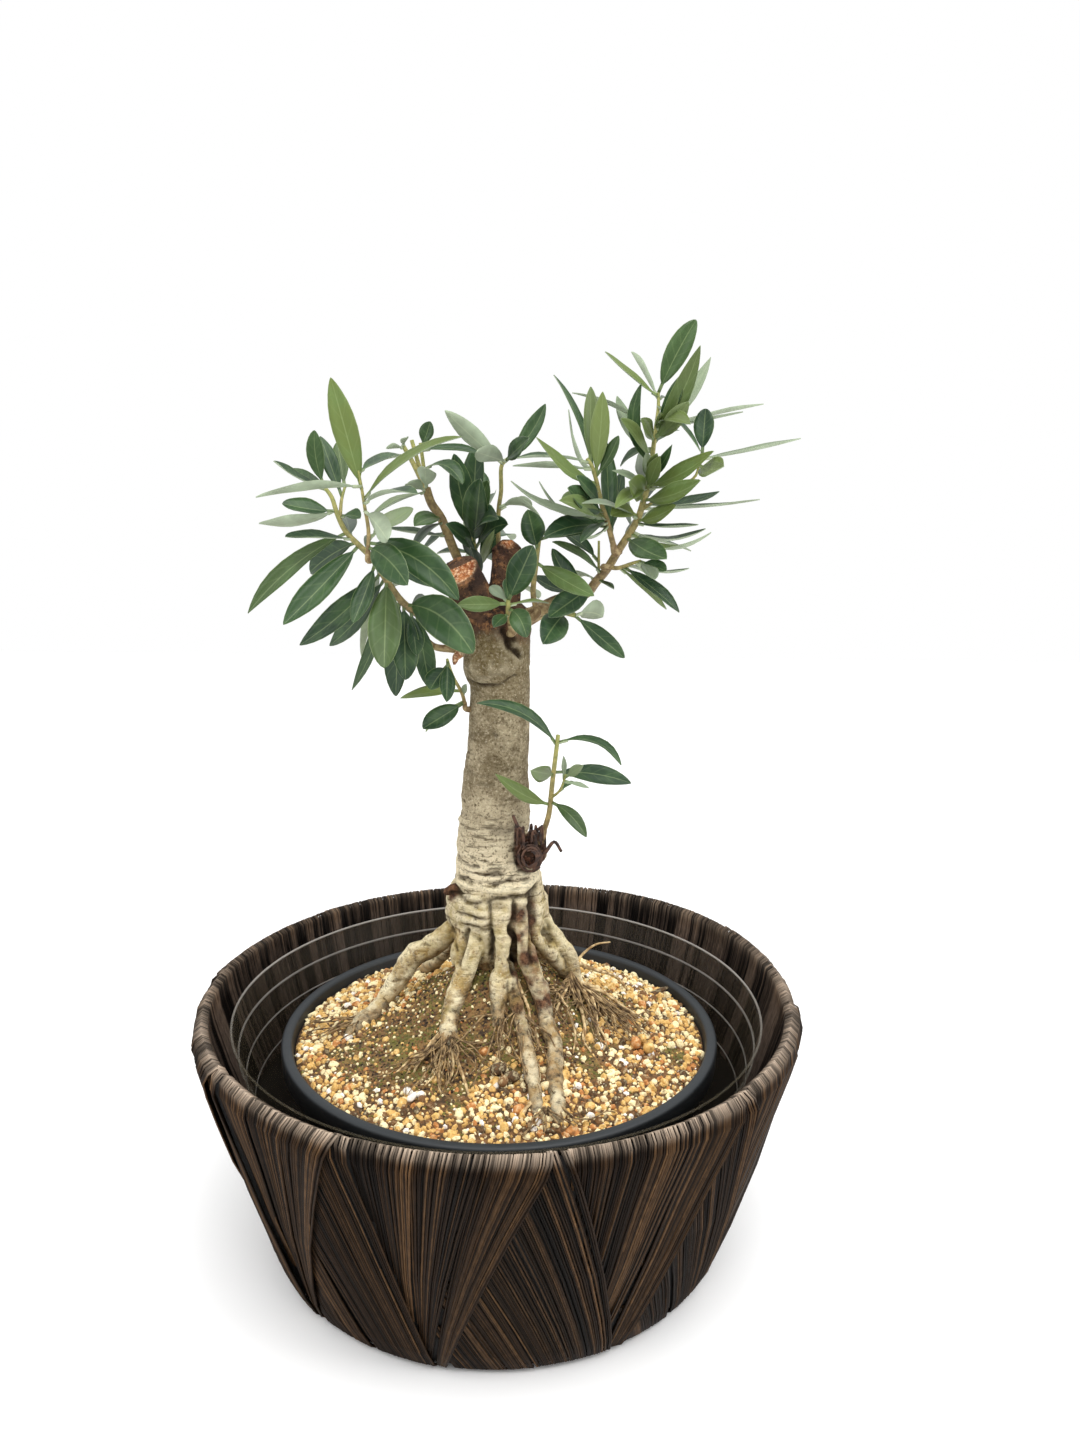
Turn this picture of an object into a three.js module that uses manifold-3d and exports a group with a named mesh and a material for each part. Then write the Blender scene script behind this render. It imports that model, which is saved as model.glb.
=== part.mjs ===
// An olive bonsai in a black nursery pot, which stands in a clear liner inside a wicker cachepot.
// Millimetres, +Z up, origin at the middle of the cachepot's base, front towards -Y.
import * as THREE from 'three';
import { mergeVertices } from 'three/addons/utils/BufferGeometryUtils.js';
import Module from 'manifold-3d';

const wasm = await Module();
wasm.setup();

// ---- Driving dimensions --------------------------------------------------------------------
const GAP = 0.35; // between pieces that rest on or in each other

const RIM_HEIGHT = 105; // cachepot, floor to the top of its rim
const RIM_RADIUS = 122; // cachepot, out to the wrapped rim
const BASE_RADIUS = 93;
const WALL = 5;
const FLOOR = 4;
const WRAP_LIFT = 2; // how far the free edge of a wrapped band stands out
const WRAP_COLUMNS = 2; // facets across one band

const LINER_TOP = 98.5;
const LINER_RADIUS = 108;
const LINER_WALL = 1;

const POT_CENTRE = [1, -4]; // the nursery pot stands a little off the cachepot's axis
const POT_TOP = 90;
const POT_RADIUS = 88.6;
const POT_LIP = 4.6; // width of the flat rim
const POT_LIP_HEIGHT = 9;
const POT_EDGE = 1.5; // rounding of the rim's edges
const POT_WALL = 1.6;
const POT_FLOOR = FLOOR + GAP + LINER_WALL + GAP + POT_WALL;
const POT_FOOT = 69; // inner radius at the floor
const DRAIN_RADIUS = 5;
const DRAIN_CIRCLE = 45;

const SOIL_EDGE = 85.5; // height of the soil at the pot's wall
const SOIL_DOME = 12; // how far the whole top rises to the middle
const SOIL_HEAP = 26; // height of the heap under the roots, on top of that
const HEAP_SPREAD = 30;
const SOIL_ROUGHNESS = 1.1;
const SOIL_RINGS = 10;
const ROUND_FACETS = 40; // round the pots and the soil

const BLADE_THICKNESS = 0.7;
const PETIOLE_HALF_WIDTH = 0.6;
const STEM_FACETS = 5;
const SEAM_TOLERANCE = 0.04; // corners closer to a face than this are dropped after fusing

// Where the bands of the wrap start, as [angle on the rim, angle on the base] in degrees from the
// front, growing to the right. Three at the front are uneven, and the rest follow every 36 degrees.
const WRAP_PITCH = 36;
const WRAPS = [[-53.2, -44.4], [-21.5, -10.8], [13.1, 29.7]];
for (let turn = 0; turn < 7; turn += 1) WRAPS.push([49 + turn * WRAP_PITCH, 61 + turn * WRAP_PITCH]);
const WRAP_OVERHANG_RIM = 2.5; // degrees by which a band passes under the next one
const WRAP_OVERHANG_BASE = 1.5;

// Trunk: [x, y, z, radius] from below the soil up to the crown.
const TRUNK = [
  [0, 0, 98, 11], [0, 0, 112, 12.5], [0, 0, 122, 15.5], [0, 0, 130, 18.5], [0, 0, 137, 20.2], [-1, 0, 142, 20],
  [-0.5, 0, 148, 18.6], [-0.5, 0, 152, 17], [-2, 0, 156, 14.8], [-2.2, 0, 165, 13.7], [-1.9, 0, 175, 13.5],
  [-1.4, 0, 186, 13.1], [-1, 0, 196, 12.7], [-0.2, 0, 208, 12.2], [0.2, 0, 222, 11.8], [0.2, 0, 234, 11.7],
  [-1, 0, 240, 13], [-0.6, 0, 248, 12.6], [0, 0, 256, 12.4], [0.3, 0, 262, 11], [0.4, 0, 265, 7.5],
];

// Roots, limbs' stumps and dead twigs: [x, y, z] points with the radius at each end.
const ROOTS = [
  { from: 4.6, to: 3.2, path: [[-10, 0, 137], [-20, 0, 130], [-27, 1, 123], [-35, 2, 118], [-40, 2, 110],
    [-45, 2, 102], [-49, -2, 97], [-55, -9, 94], [-60, -16, 88]] },
  { from: 4.3, to: 3.4, path: [[-5, -9, 142], [-8, -14, 134], [-11, -17, 125], [-14, -20, 116],
    [-17, -25, 109], [-18, -32, 104], [-18, -40, 97]] },
  { from: 4, to: 3, path: [[1, -11, 154], [1, -14, 147], [2, -17, 139], [3, -20, 128], [1, -22, 119],
    [1, -27, 112], [1, -33, 104]] },
  { from: 3.5, to: 2.4, path: [[8, -10, 154], [9, -13, 147], [10, -17, 135], [12, -19, 128], [15, -21, 119],
    [18, -24, 112], [20, -31, 105], [23, -39, 100], [23, -53, 95], [24, -68, 90], [24, -74, 84]] },
  { from: 3, to: 2.4, path: [[4, -18, 126], [6, -22, 116], [9, -30, 109], [12, -40, 102], [14, -52, 97],
    [16, -64, 92], [17, -72, 85]] },
  { from: 3.5, to: 2.2, path: [[12, -3, 146], [19, -4, 136], [24, -3, 128], [29, -1, 121], [31, 0, 113],
    [33, 1, 106], [36, -4, 102], [37, -10, 97]] },
  { from: 4, to: 2.6, path: [[10, -6, 140], [15, -9, 132], [21, -6, 124], [26, 0, 114], [31, 4, 106],
    [34, 6, 98]] },
  { from: 5, to: 2.6, path: [[-6, 8, 142], [-13, 15, 130], [-20, 22, 117], [-27, 30, 105], [-34, 38, 95],
    [-40, 44, 87]] },
  { from: 5, to: 2.8, path: [[5, 9, 142], [9, 17, 130], [14, 26, 116], [18, 37, 104], [21, 48, 94],
    [23, 56, 86]] },
  { from: 5, to: 3.2, path: [[-10, -8, 140], [-13, -11, 132], [-15, -13, 125], [-15, -14, 121]] },
];
const ROOTLETS = [
  [[6, -17, 122], [10, -23, 114], [13, -29, 109], [13, -36, 101]],
  [[33, 1, 108], [43, 6, 101], [51, 4, 96], [57, -5, 94], [60, -14, 88]],
  [[34, 1, 105], [44, -3, 101], [51, -10, 96], [53, -27, 91]],
  [[33, 1, 108], [38, -6, 105], [40, -18, 100], [40, -38, 92]],
  [[32, 0, 110], [33, -11, 106], [35, -28, 99], [31, -45, 92]],
  [[31, 0, 114], [28, -9, 110], [24, -22, 107], [22, -31, 101]],
  [[30, 3, 116], [40, 12, 108], [50, 22, 100], [57, 28, 89]],
  [[-18, -31, 104], [-24, -37, 100], [-28, -44, 96], [-32, -51, 90]],
  [[-18, -31, 104], [-20, -45, 97], [-20, -55, 94], [-17, -67, 88]],
  [[-18, -31, 104], [-14, -46, 98], [-10, -57, 94], [-6, -69, 88]],
  [[16, -63, 92], [20, -70, 90], [23, -79, 84]],
  [[16, -63, 92], [12, -70, 91], [9, -79, 84]],
];
const ROOTLET_FROM = 0.9;
const ROOTLET_TO = 0.6;
const STUMPS = [
  { radius: 6.2, path: [[-5, 2, 254], [-9, -2, 264], [-13, -6, 272], [-15, -8, 277]],
    cut: [-0.35, -0.5, 0.79] },
  { radius: 5.2, path: [[2, 1, 256], [2, 2, 266], [3, 4, 276], [3, 4, 285]],
    cut: [0.5, -0.55, 0.67] },
];
const DEAD_TWIGS = [
  { from: 1.8, to: 1, path: [[-9, -1, 246], [-18, -3, 247], [-25, -3, 248], [-30, -2, 253]] },
  { from: 1.2, to: 0.6, path: [[9, -10, 168], [10, -13, 174], [8, -14, 179], [6, -14, 184]] },
  { from: 1, to: 0.6, path: [[14, -10, 168], [18, -13, 168], [22, -13, 173], [25, -13, 169]] },
];
const BURR = { centre: [13.5, -8, 167], radius: 7.5, stretch: [0.95, 0.9, 1.25] };

// Leafy shoots. Each grows from a collar on its parent, and its first stem starts at that collar's
// flat end. A leaf is [stem, place on it counted in its points, tip x, y, z, width, turn, arch]:
// turn 0 shows its upper face to the front and 90 turns that face up, and arch is how far its
// middle bends upwards, per millimetre of its length.
const SPRAYS = [
  {
    name: 'left_spray',
    parent: 'trunk',
    collar: [-8, -2, 250],
    stems: [
      { from: 1.5, to: 0.7, path: [
        [-27, -6, 259], [-32, -8, 262], [-37, -10, 267], [-42, -12, 275], [-46, -14, 282],
        [-51, -14, 287], [-56, -13, 292], [-59, -12, 298], [-61, -11, 304], [-64, -10, 308]
      ] },
      { from: 0.7, to: 0.5, path: [[-58, -12, 297], [-58, -8, 303], [-57, -5, 308]] },
    ],
    leaves: [
      [0, 8.9, -67, -9, 328, 6.4, 10, -0.07],
      [1, 1.2, -67, 2, 326, 6.4, 25, 0],
      [1, 1.9, -62, 10, 324, 6, 20, 0],
      [0, 8.8, -82, -10, 317, 7, 80, -0.06],
      [0, 8.7, -80, 8, 314, 6, 60, 0],
      [0, 7.2, -78, -17, 302, 8, 50, -0.03],
      [0, 7.3, -90, -3, 294, 8, 125, -0.08],
      [0, 5.5, -75, -28, 291, 8, 75, 0],
      [0, 5.9, -92, -18, 262, 8.5, 35, 0.06],
      [0, 5.0, -76, -32, 260, 10.2, 20, -0.01],
      [0, 5.2, -73, 5, 275, 10, 30, 0.04],
      [0, 3.8, -52, -26, 260, 7.4, 10, -0.02],
      [0, 3.3, -75, -10, 249, 9.5, 22, -0.04],
      [0, 3.0, -67, 8, 246, 9.5, 35, -0.05],
      [0, 2.9, -40, -34, 245, 12.4, 5, 0],
      [0, 1.7, -34, -20, 238, 10.5, 20, 0],
      [0, 2.0, -40, -2, 228, 10.5, 20, 0],
      [0, 2.6, -58, 4, 229, 6.5, 35, -0.05],
      [0, 2.8, -56, 18, 240, 8, 110, 0.05],
      [1, 0.0, -50, -16, 297, 6, 60, 0.1],
      [0, 1.5, -8, -36, 251, 15, 12, 0.12],
      [0, 0.8, -26, -10, 233, 8, 20, 0],
      [0, 1.2, -30, -18, 247, 7, 30, 0],
      [0, 4.2, -22, -8, 271, 8, 40, 0.03],
      [0, 3.4, -50, 26, 262, 9, 80, 0.08],
      [0, 2.5, -40, 32, 268, 8, 90, 0.08],
      [0, 4.6, -46, 30, 288, 8, 80, 0.08],
      [0, 5.6, -64, 28, 296, 8, 80, 0.05],
      [0, 1.3, -28, 26, 256, 8, 80, 0.08],
    ],
  },
  {
    name: 'left_upright_spray',
    parent: 'left_spray',
    collar: [-46, -14, 282],
    stems: [
      { from: 0.8, to: 0.45, path: [
        [-47, -19, 285], [-47, -17, 293], [-48, -18, 301], [-49, -18, 308], [-50, -18, 314]
      ] },
    ],
    leaves: [
      [0, 2.9, -59, -18, 346, 9.2, 10, 0],
      [0, 3.1, -83, -36, 305, 8, 110, 0.02],
      [0, 2.4, -12, -32, 326, 8, 66, 0.08],
      [0, 2.2, -26, -46, 307, 8, 88, 0.06],
      [0, 3.9, -36, 8, 319, 8, 66, 0.05],
      [0, 0.2, -30, -44, 276, 11, 8, 0.07],
      [0, 0.4, -13, -36, 270, 11.5, 15, 0.11],
      [0, 0.6, -33, 2, 300, 8, 40, 0],
      [0, 1.8, -37, -40, 291, 8.5, 165, 0.03],
    ],
  },
  {
    name: 'mid_left_spray',
    parent: 'trunk',
    collar: [-7, 6, 257],
    stems: [
      { from: 2.0, to: 1.8, path: [
        [-12, 13, 269], [-15, 14, 276], [-19, 15, 285], [-23, 16, 295], [-27, 16, 301], [-29, 16, 307]
      ] },
      { from: 1.1, to: 0.9, path: [[-29, 16, 306], [-34, 18, 316], [-38, 18, 323]] },
      { from: 1.0, to: 0.8, path: [[-29, 16, 307], [-32, 20, 315], [-35, 22, 325]] },
      { from: 0.8, to: 0.7, path: [[-29, 16, 307], [-30, 17, 315], [-31, 16, 324]] },
    ],
    leaves: [
      [3, 1.8, -27, 14, 332, 6, 15, -0.03],
      [1, 1.9, -44, 14, 322, 4, 120, 0],
      [1, 2.0, -36, 12, 326, 3.5, 120, 0],
      [3, 1.7, -8, 24, 320, 6, 60, 0.05],
      [3, 0.9, -14, 4, 309, 7, 60, 0.2],
      [2, 0.0, -27, -6, 315, 7.5, 180, 0],
      [1, 0.0, -35, 4, 309, 6, 150, 0],
      [0, 3.1, -31, -10, 294, 7.5, 45, 0.04],
      [0, 2.4, -42, 6, 292, 7, 80, -0.03],
      [0, 2.9, -31, -10, 286, 7, 60, 0.05],
      [0, 2.6, -32, 28, 282, 5, 60, 0],
      [0, 4.8, -48, 0, 297, 7, 75, 0.04],
    ],
  },
  {
    name: 'centre_spray',
    parent: 'trunk',
    collar: [-4, 8, 256],
    stems: [
      { from: 1.3, to: 0.8, path: [[-7, 20, 265], [-9, 22, 275], [-11, 24, 285], [-12, 25, 292]] },
    ],
    leaves: [
      [0, 2.8, -10, 28, 324, 10, 25, 0],
      [0, 2.0, -7, -2, 311, 11.5, 20, 0],
      [0, 1.8, 3, 6, 294, 9, 50, 0.1],
      [0, 2.4, -0, -12, 297, 9, 60, 0.1],
      [0, 2.6, -18, 14, 320, 10, 30, -0.05],
      [0, 3.0, -20, 36, 317, 8, 40, 0],
      [0, 2.7, -5, 14, 310, 8, 15, 0],
      [0, 1.0, -2, 2, 292, 4, 20, 0],
      [0, 1.4, -15, 8, 289, 5, 30, 0],
      [0, 1.2, -1, 24, 290, 8, 30, 0],
      [0, 0.6, -11, 4, 285, 6, 30, 0],
      [0, 1.6, -26, 26, 281, 6, 80, 0.05],
      [0, 1.9, -19, -14, 295, 8, 55, 0],
    ],
  },
  {
    name: 'centre_tall_spray',
    parent: 'trunk',
    collar: [0, 7, 257],
    stems: [
      { from: 1.0, to: 0.8, path: [
        [0, 16, 270], [-1, 18, 283], [-1, 19, 298], [0, 19, 306], [0, 19, 315], [2, 19, 318]
      ] },
    ],
    leaves: [
      [0, 4.4, -21, 10, 336, 7.4, 165, -0.01],
      [0, 4.8, -8, -12, 321, 8, 160, 0],
      [0, 4.7, 17, 16, 339, 7, 25, -0.07],
      [0, 4.9, 11, -8, 326, 7, 30, 0],
      [0, 2.2, 16, 2, 296, 6, 120, 0.15],
      [0, 2.1, 12, 28, 300, 6, 120, 0.12],
    ],
  },
  {
    name: 'front_sprig',
    parent: 'trunk',
    collar: [4, -7, 254],
    stems: [
      { from: 1.2, to: 0.8, path: [[5, -14, 258], [4, -17, 263], [4, -18, 268]] },
    ],
    leaves: [
      [0, 1.7, -14, -26, 267, 6, 20, 0],
      [0, 1.9, 13, -32, 289, 10.5, 10, 0],
      [0, 1.8, -3, -10, 272, 4.5, 30, 0],
      [0, 1.3, 11, -30, 256, 8, 10, 0.15],
      [0, 0.9, -1, -26, 259, 5, 30, 0.05],
      [0, 1.6, 19, -10, 266, 3.5, 80, 0.05],
      [0, 1.5, 3, -12, 275, 5, 40, 0],
    ],
  },
  {
    name: 'front_twig_spray',
    parent: 'trunk',
    collar: [9, -3, 257],
    stems: [
      { from: 1.1, to: 0.8, path: [
        [14, -6, 264], [13, -7, 270], [14, -9, 280], [15, -10, 289], [16, -11, 294]
      ] },
    ],
    leaves: [
      [0, 2.6, 11, -24, 301, 9, 10, 0],
      [0, 2.1, 35, -28, 271, 8, 25, -0.02],
      [0, 3.1, 40, 1, 296, 7.5, 35, 0],
    ],
  },
  {
    name: 'right_low_spray',
    parent: 'trunk',
    collar: [8, -1, 260],
    stems: [
      { from: 1.4, to: 1.0, path: [[19, -3, 262], [24, -5, 262], [29, -7, 261]] },
    ],
    leaves: [
      [0, 1.3, 17, -26, 253, 11, 10, 0.05],
      [0, 2.0, 40, 4, 259, 9.5, 150, 0.1],
      [0, 1.9, 48, -8, 245, 7, 30, 0],
    ],
  },
  {
    name: 'right_spray',
    parent: 'trunk',
    collar: [8, 1, 257],
    stems: [
      { from: 2.0, to: 0.55, path: [
        [24, 4, 265], [33, 2, 268], [37, 0, 273], [41, -1, 278], [45, -2, 285], [48, -3, 290],
        [52, -3, 297], [54, -3, 304], [56, -2, 311], [57, 0, 320], [58, 2, 329], [59, 4, 337],
        [59, 5, 343]
      ] },
      { from: 0.6, to: 0.45, path: [
        [53, -3, 300], [62, -8, 307], [71, -11, 312], [73, -12, 317], [74, -13, 321]
      ] },
      { from: 0.6, to: 0.45, path: [[38, 0, 274], [38, 4, 281], [38, 6, 288]] },
    ],
    leaves: [
      [0, 12.0, 72, 5, 369, 9, 15, 0.02],
      [0, 11.8, 38, -14, 356, 5.5, 62, -0.03],
      [0, 11.7, 50, 24, 359, 6, 105, 0],
      [0, 8.6, 52, -3, 346, 5.5, 20, -0.19],
      [0, 9.7, 71, -18, 358, 7.5, 20, -0.06],
      [0, 9.9, 80, 20, 357, 6, 25, -0.06],
      [0, 9.8, 69, 6, 351, 7, 40, -0.1],
      [1, 3.8, 75, -8, 337, 7.5, 15, 0],
      [0, 10.1, 88, -12, 336, 5, 85, -0.01],
      [0, 10.2, 101, 20, 340, 5, 100, 0],
      [0, 7.7, 76, -26, 322, 7.5, 45, -0.05],
      [1, 3.0, 78, -38, 317, 9, 40, -0.05],
      [1, 3.6, 111, -4, 327, 6, 82, -0.02],
      [0, 7.0, 71, -32, 312, 8, 40, -0.05],
      [0, 6.8, 84, 10, 307, 7, 70, -0.08],
      [0, 6.6, 96, -10, 305, 5.5, 90, -0.03],
      [0, 5.8, 73, -16, 296, 5, 80, -0.05],
      [0, 5.4, 79, 8, 293, 6.5, 85, -0.13],
      [0, 5.3, 76, -28, 294, 7, 84, -0.17],
      [0, 5.1, 76, 26, 283, 6, 85, 0.02],
      [0, 5.0, 60, -34, 285, 9.5, 30, -0.03],
      [0, 6.9, 47, -22, 311, 9.5, 30, 0.05],
      [0, 6.1, 41, -18, 299, 7, 40, 0.1],
      [0, 7.8, 41, -24, 315, 4, 50, 0],
      [0, 8.7, 44, -14, 333, 6.5, 50, 0.05],
      [0, 9.1, 44, 12, 342, 6.5, 25, -0.1],
      [0, 10.0, 27, 10, 343, 5, 95, 0.05],
      [0, 9.3, 46, 14, 316, 5, 60, 0.1],
      [0, 9.6, 51, -18, 333, 6, 30, 0],
      [0, 10.3, 57, -24, 335, 4, 15, 0],
      [0, 8.0, 57, -18, 321, 5, 20, 0],
      [0, 7.9, 54, -8, 321, 5, 20, 0],
      [0, 10.4, 67, -30, 331, 6.5, 50, 0.05],
      [0, 11.6, 68, 26, 338, 4.5, 100, 0.1],
      [0, 6.0, 30, -35, 304, 5, 80, 0.05],
      [2, 0.9, 24, 10, 291, 7, 50, 0.05],
      [0, 1.4, 20, -8, 286, 7.5, 30, -0.12],
      [0, 1.7, 19, -20, 262, 9.5, 25, 0],
      [0, 1.2, 13, 8, 274, 8, 60, -0.1],
      [0, 2.1, 28, 12, 273, 5, 120, 0.1],
      [2, 0.0, 43, -14, 272, 3, 60, 0],
      [0, 5.4, 50, 36, 306, 8, 80, 0.08],
      [0, 6.5, 68, 40, 311, 8, 75, 0.08],
      [0, 7.6, 56, 46, 322, 7.5, 60, 0.05],
      [0, 8.4, 47, 34, 333, 6.5, 40, 0.05],
      [0, 9.5, 70, 32, 330, 6.5, 50, 0.05],
      [0, 4.5, 64, 34, 298, 8, 90, 0.08],
      [0, 5.9, 64, -22, 303, 6.5, 40, -0.05],
      [0, 7.6, 42, -26, 302, 6, 40, 0.05],
      [0, 7.5, 58, -18, 320, 5.5, 20, 0],
      [0, 11.2, 72, -22, 322, 3.5, 60, 0.05],
      [0, 7.6, 73, -14, 312, 3.5, 80, -0.03],
      [0, 8.2, 62, -20, 324, 4, 30, -0.08],
      [0, 10.1, 66, -12, 349, 6, 20, -0.06],
      [0, 9.7, 68, -16, 339, 7, 25, -0.05],
      [0, 2.6, 20, -14, 289, 5.5, 60, 0.05],
    ],
  },
  {
    name: 'right_inner_spray',
    parent: 'right_spray',
    collar: [45, -2, 285],
    stems: [
      { from: 1.1, to: 0.6, path: [
        [43, -5, 287], [40, -9, 297], [38, -12, 302], [36, -14, 310], [34, -16, 316], [32, -16, 319]
      ] },
    ],
    leaves: [
      [0, 4.4, 33, -14, 344, 6.5, 20, 0],
      [0, 3.4, 37, -20, 342, 7, 15, -0.04],
      [0, 3.6, 20, 4, 349, 6, 60, 0.06],
      [0, 4.0, 26, 16, 337, 5, 95, -0.2],
      [0, 4.6, 7, -24, 319, 6.5, 85, 0.04],
      [0, 3.9, 5, 2, 316, 5.5, 112, 0],
      [0, 3.0, 14, -38, 326, 6.5, 50, -0.08],
      [0, 2.1, 28, -30, 313, 6, 40, 0],
      [0, 1.6, 25, -32, 309, 9, 40, -0.05],
      [0, 1.0, 22, -40, 305, 7, 45, 0.03],
      [0, 1.2, 17, -4, 304, 7, 90, -0.1],
      [0, 1.4, 15, 14, 310, 5, 100, -0.2],
      [0, 1.5, 5, -22, 311, 6.5, 70, -0.13],
      [0, 0.5, 40, 10, 326, 7, 25, 0],
      [0, 0.4, 47, 14, 315, 6, 30, 0],
      [0, 0.8, 31, -22, 291, 4, 90, -0.1],
      [0, 0.7, 17, -20, 291, 8.5, 40, 0.09],
      [0, 0.9, 30, -28, 290, 5, 60, 0.05],
      [0, 3.4, 43, -20, 327, 5, 30, -0.05],
      [0, 2.7, 23, -26, 305, 4.5, 70, 0.05],
    ],
  },
  {
    name: 'right_under_spray',
    parent: 'right_spray',
    collar: [41, -1, 278],
    stems: [
      { from: 0.9, to: 0.5, path: [[42, -5, 279], [45, -7, 279], [50, -9, 281], [53, -10, 282]] },
    ],
    leaves: [
      [0, 1.3, 67, -18, 264, 6.5, 45, 0.03],
      [0, 1.1, 64, -2, 263, 5.5, 60, 0],
      [0, 1.4, 60, 12, 273, 6, 100, 0.05],
      [0, 2.4, 73, 6, 278, 4.5, 95, -0.1],
      [0, 2.9, 57, -26, 277, 6, 40, 0],
      [0, 2.8, 62, -16, 279, 6, 40, 0],
    ],
  },
  {
    name: 'low_left_sprig',
    parent: 'trunk',
    collar: [-8, -3, 224],
    stems: [
      { from: 0.8, to: 0.5, path: [
        [-13, -5, 226], [-14, -8, 231], [-17, -12, 238], [-19, -14, 245]
      ] },
    ],
    leaves: [
      [0, 0.1, -28, -18, 219, 8.5, 30, 0],
      [0, 0.2, -29, 2, 213, 5, 60, 0.05],
      [0, 2.9, -18, -30, 232, 6, 15, 0],
      [0, 2.7, -25, -18, 234, 8, 25, 0.05],
      [0, 1.1, -39, 4, 226, 5.5, 50, 0.03],
      [0, 0.7, -12, -12, 235, 2.5, 20, 0],
    ],
  },
  {
    name: 'sucker_shoot',
    parent: 'trunk',
    collar: [15, -10, 170],
    stems: [
      { from: 1.1, to: 0.8, path: [
        [18, -12, 177], [20, -14, 185], [21, -16, 197], [22, -17, 207], [23, -18, 217]
      ] },
      { from: 0.6, to: 0.4, path: [[20, -15, 191], [24, -20, 196], [26, -23, 203]] },
    ],
    leaves: [
      [0, 3.6, -7, -32, 232, 6, 50, 0.12],
      [0, 3.7, 47, -20, 206, 6, 70, 0.2],
      [0, 2.5, 52, -6, 195, 7.5, 25, 0.05],
      [0, 2.4, 13, -40, 209, 7, 20, 0],
      [0, 1.4, 34, -28, 180, 5.5, 25, 0.1],
      [0, 1.3, -0, -34, 206, 5.5, 35, -0.05],
      [1, 1.6, 35, -20, 197, 2.5, 60, 0],
      [1, 1.0, 29, -14, 198, 2.5, 60, 0],
      [1, 1.8, 32, -32, 209, 4, 35, 0],
      [1, 1.7, 25, -26, 211, 2.2, 20, 0],
    ],
  },
  {
    name: 'back_spray',
    parent: 'trunk',
    collar: [1, 7, 255],
    stems: [
      { from: 1.3, to: 0.8, path: [
        [2, 17, 262], [1, 24, 270], [-2, 31, 280], [-6, 36, 292], [-9, 38, 300]
      ] },
    ],
    leaves: [
      [0, 0.6, -15, 34, 262, 9, 100, 0.1],
      [0, 0.8, 15, 36, 262, 9, 100, 0.1],
      [0, 1.6, -15, 52, 276, 9, 90, 0.1],
      [0, 1.7, 12, 48, 276, 9, 80, 0.1],
      [0, 2.4, -17, 58, 290, 8, 80, 0.1],
      [0, 2.5, 3, 61, 284, 9, 80, 0.1],
      [0, 3.3, -20, 48, 306, 8, 60, 0.05],
      [0, 3.4, -4, 54, 304, 8, 60, 0.05],
      [0, 3.9, -10, 50, 314, 8, 45, 0],
      [0, 4, -14, 36, 318, 7, 20, 0],
    ],
  },
];
const COLLAR_STRAIGHT = 3; // the collar runs straight for this long, in line with the shoot

// ---- Materials -----------------------------------------------------------------------------
function finish(color, roughness) {
  return new THREE.MeshStandardMaterial({ color, roughness, metalness: 0 });
}
const wicker = finish('#4a382b', 0.6);
const clearPlastic = finish('#b9bdbd', 0.15);
const blackPlastic = finish('#2c3034', 0.55);
const grit = finish('#c79a5c', 0.95);
const bark = finish('#b3a487', 0.9);
const foliage = finish('#4f6b3f', 0.5);

// ---- Tools ---------------------------------------------------------------------------------
const vector = (point) => new THREE.Vector3(...point);

// A number from -1 to 1 that is fixed for each index and seed.
function scatter(index, seed) {
  const wave = Math.sin(index * 127.1 + seed * 311.7) * 43758.5453;
  return 2 * (wave - Math.floor(wave)) - 1;
}

// A closed geometry as a manifold-3d solid. Faces that shrank to a line are dropped.
function solid(geometry) {
  const bare = geometry.clone();
  bare.deleteAttribute('normal');
  bare.deleteAttribute('uv');
  const merged = mergeVertices(bare, 1e-3);
  const corners = Array.from(merged.index.array);
  const faces = [];
  for (let i = 0; i < corners.length; i += 3) {
    const [a, b, c] = corners.slice(i, i + 3);
    if (a !== b && b !== c && c !== a) faces.push(a, b, c);
  }
  return new wasm.Manifold(new wasm.Mesh({
    numProp: 3,
    vertProperties: new Float32Array(merged.attributes.position.array),
    triVerts: new Uint32Array(faces),
  }));
}

function geometryOf(made) {
  const { vertProperties, triVerts } = made.getMesh();
  const geometry = new THREE.BufferGeometry();
  geometry.setAttribute('position', new THREE.BufferAttribute(vertProperties, 3));
  geometry.setIndex(new THREE.BufferAttribute(triVerts, 1));
  geometry.computeVertexNormals();
  return geometry;
}

function join(solids) {
  return solids.reduce((whole, next) => whole.add(next));
}

// The body that is left when loose scraps are dropped.
function largest(made) {
  return made.decompose().reduce((best, next) => (next.volume() > best.volume() ? next : best));
}

function node(name, made, material) {
  const mesh = new THREE.Mesh(geometryOf(made), material);
  mesh.name = name;
  return mesh;
}

// A profile of [radius, height] points turned round the Z axis.
function turned(profile, facets) {
  const points = profile.map(([radius, height]) => new THREE.Vector2(radius, height));
  return new THREE.LatheGeometry(points, facets).rotateX(Math.PI / 2);
}

// Directions across a path at each of its points, carried along without twisting.
function framesAlong(points) {
  const frames = [];
  let side = null;
  points.forEach((point, i) => {
    const before = points[Math.max(i - 1, 0)];
    const after = points[Math.min(i + 1, points.length - 1)];
    const along = after.clone().sub(before).normalize();
    if (!side) side = new THREE.Vector3(0.31, -0.87, 0.38);
    side = side.clone().addScaledVector(along, -side.dot(along)).normalize();
    frames.push({ along, side, across: side.clone().cross(along) });
  });
  return frames;
}

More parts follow.
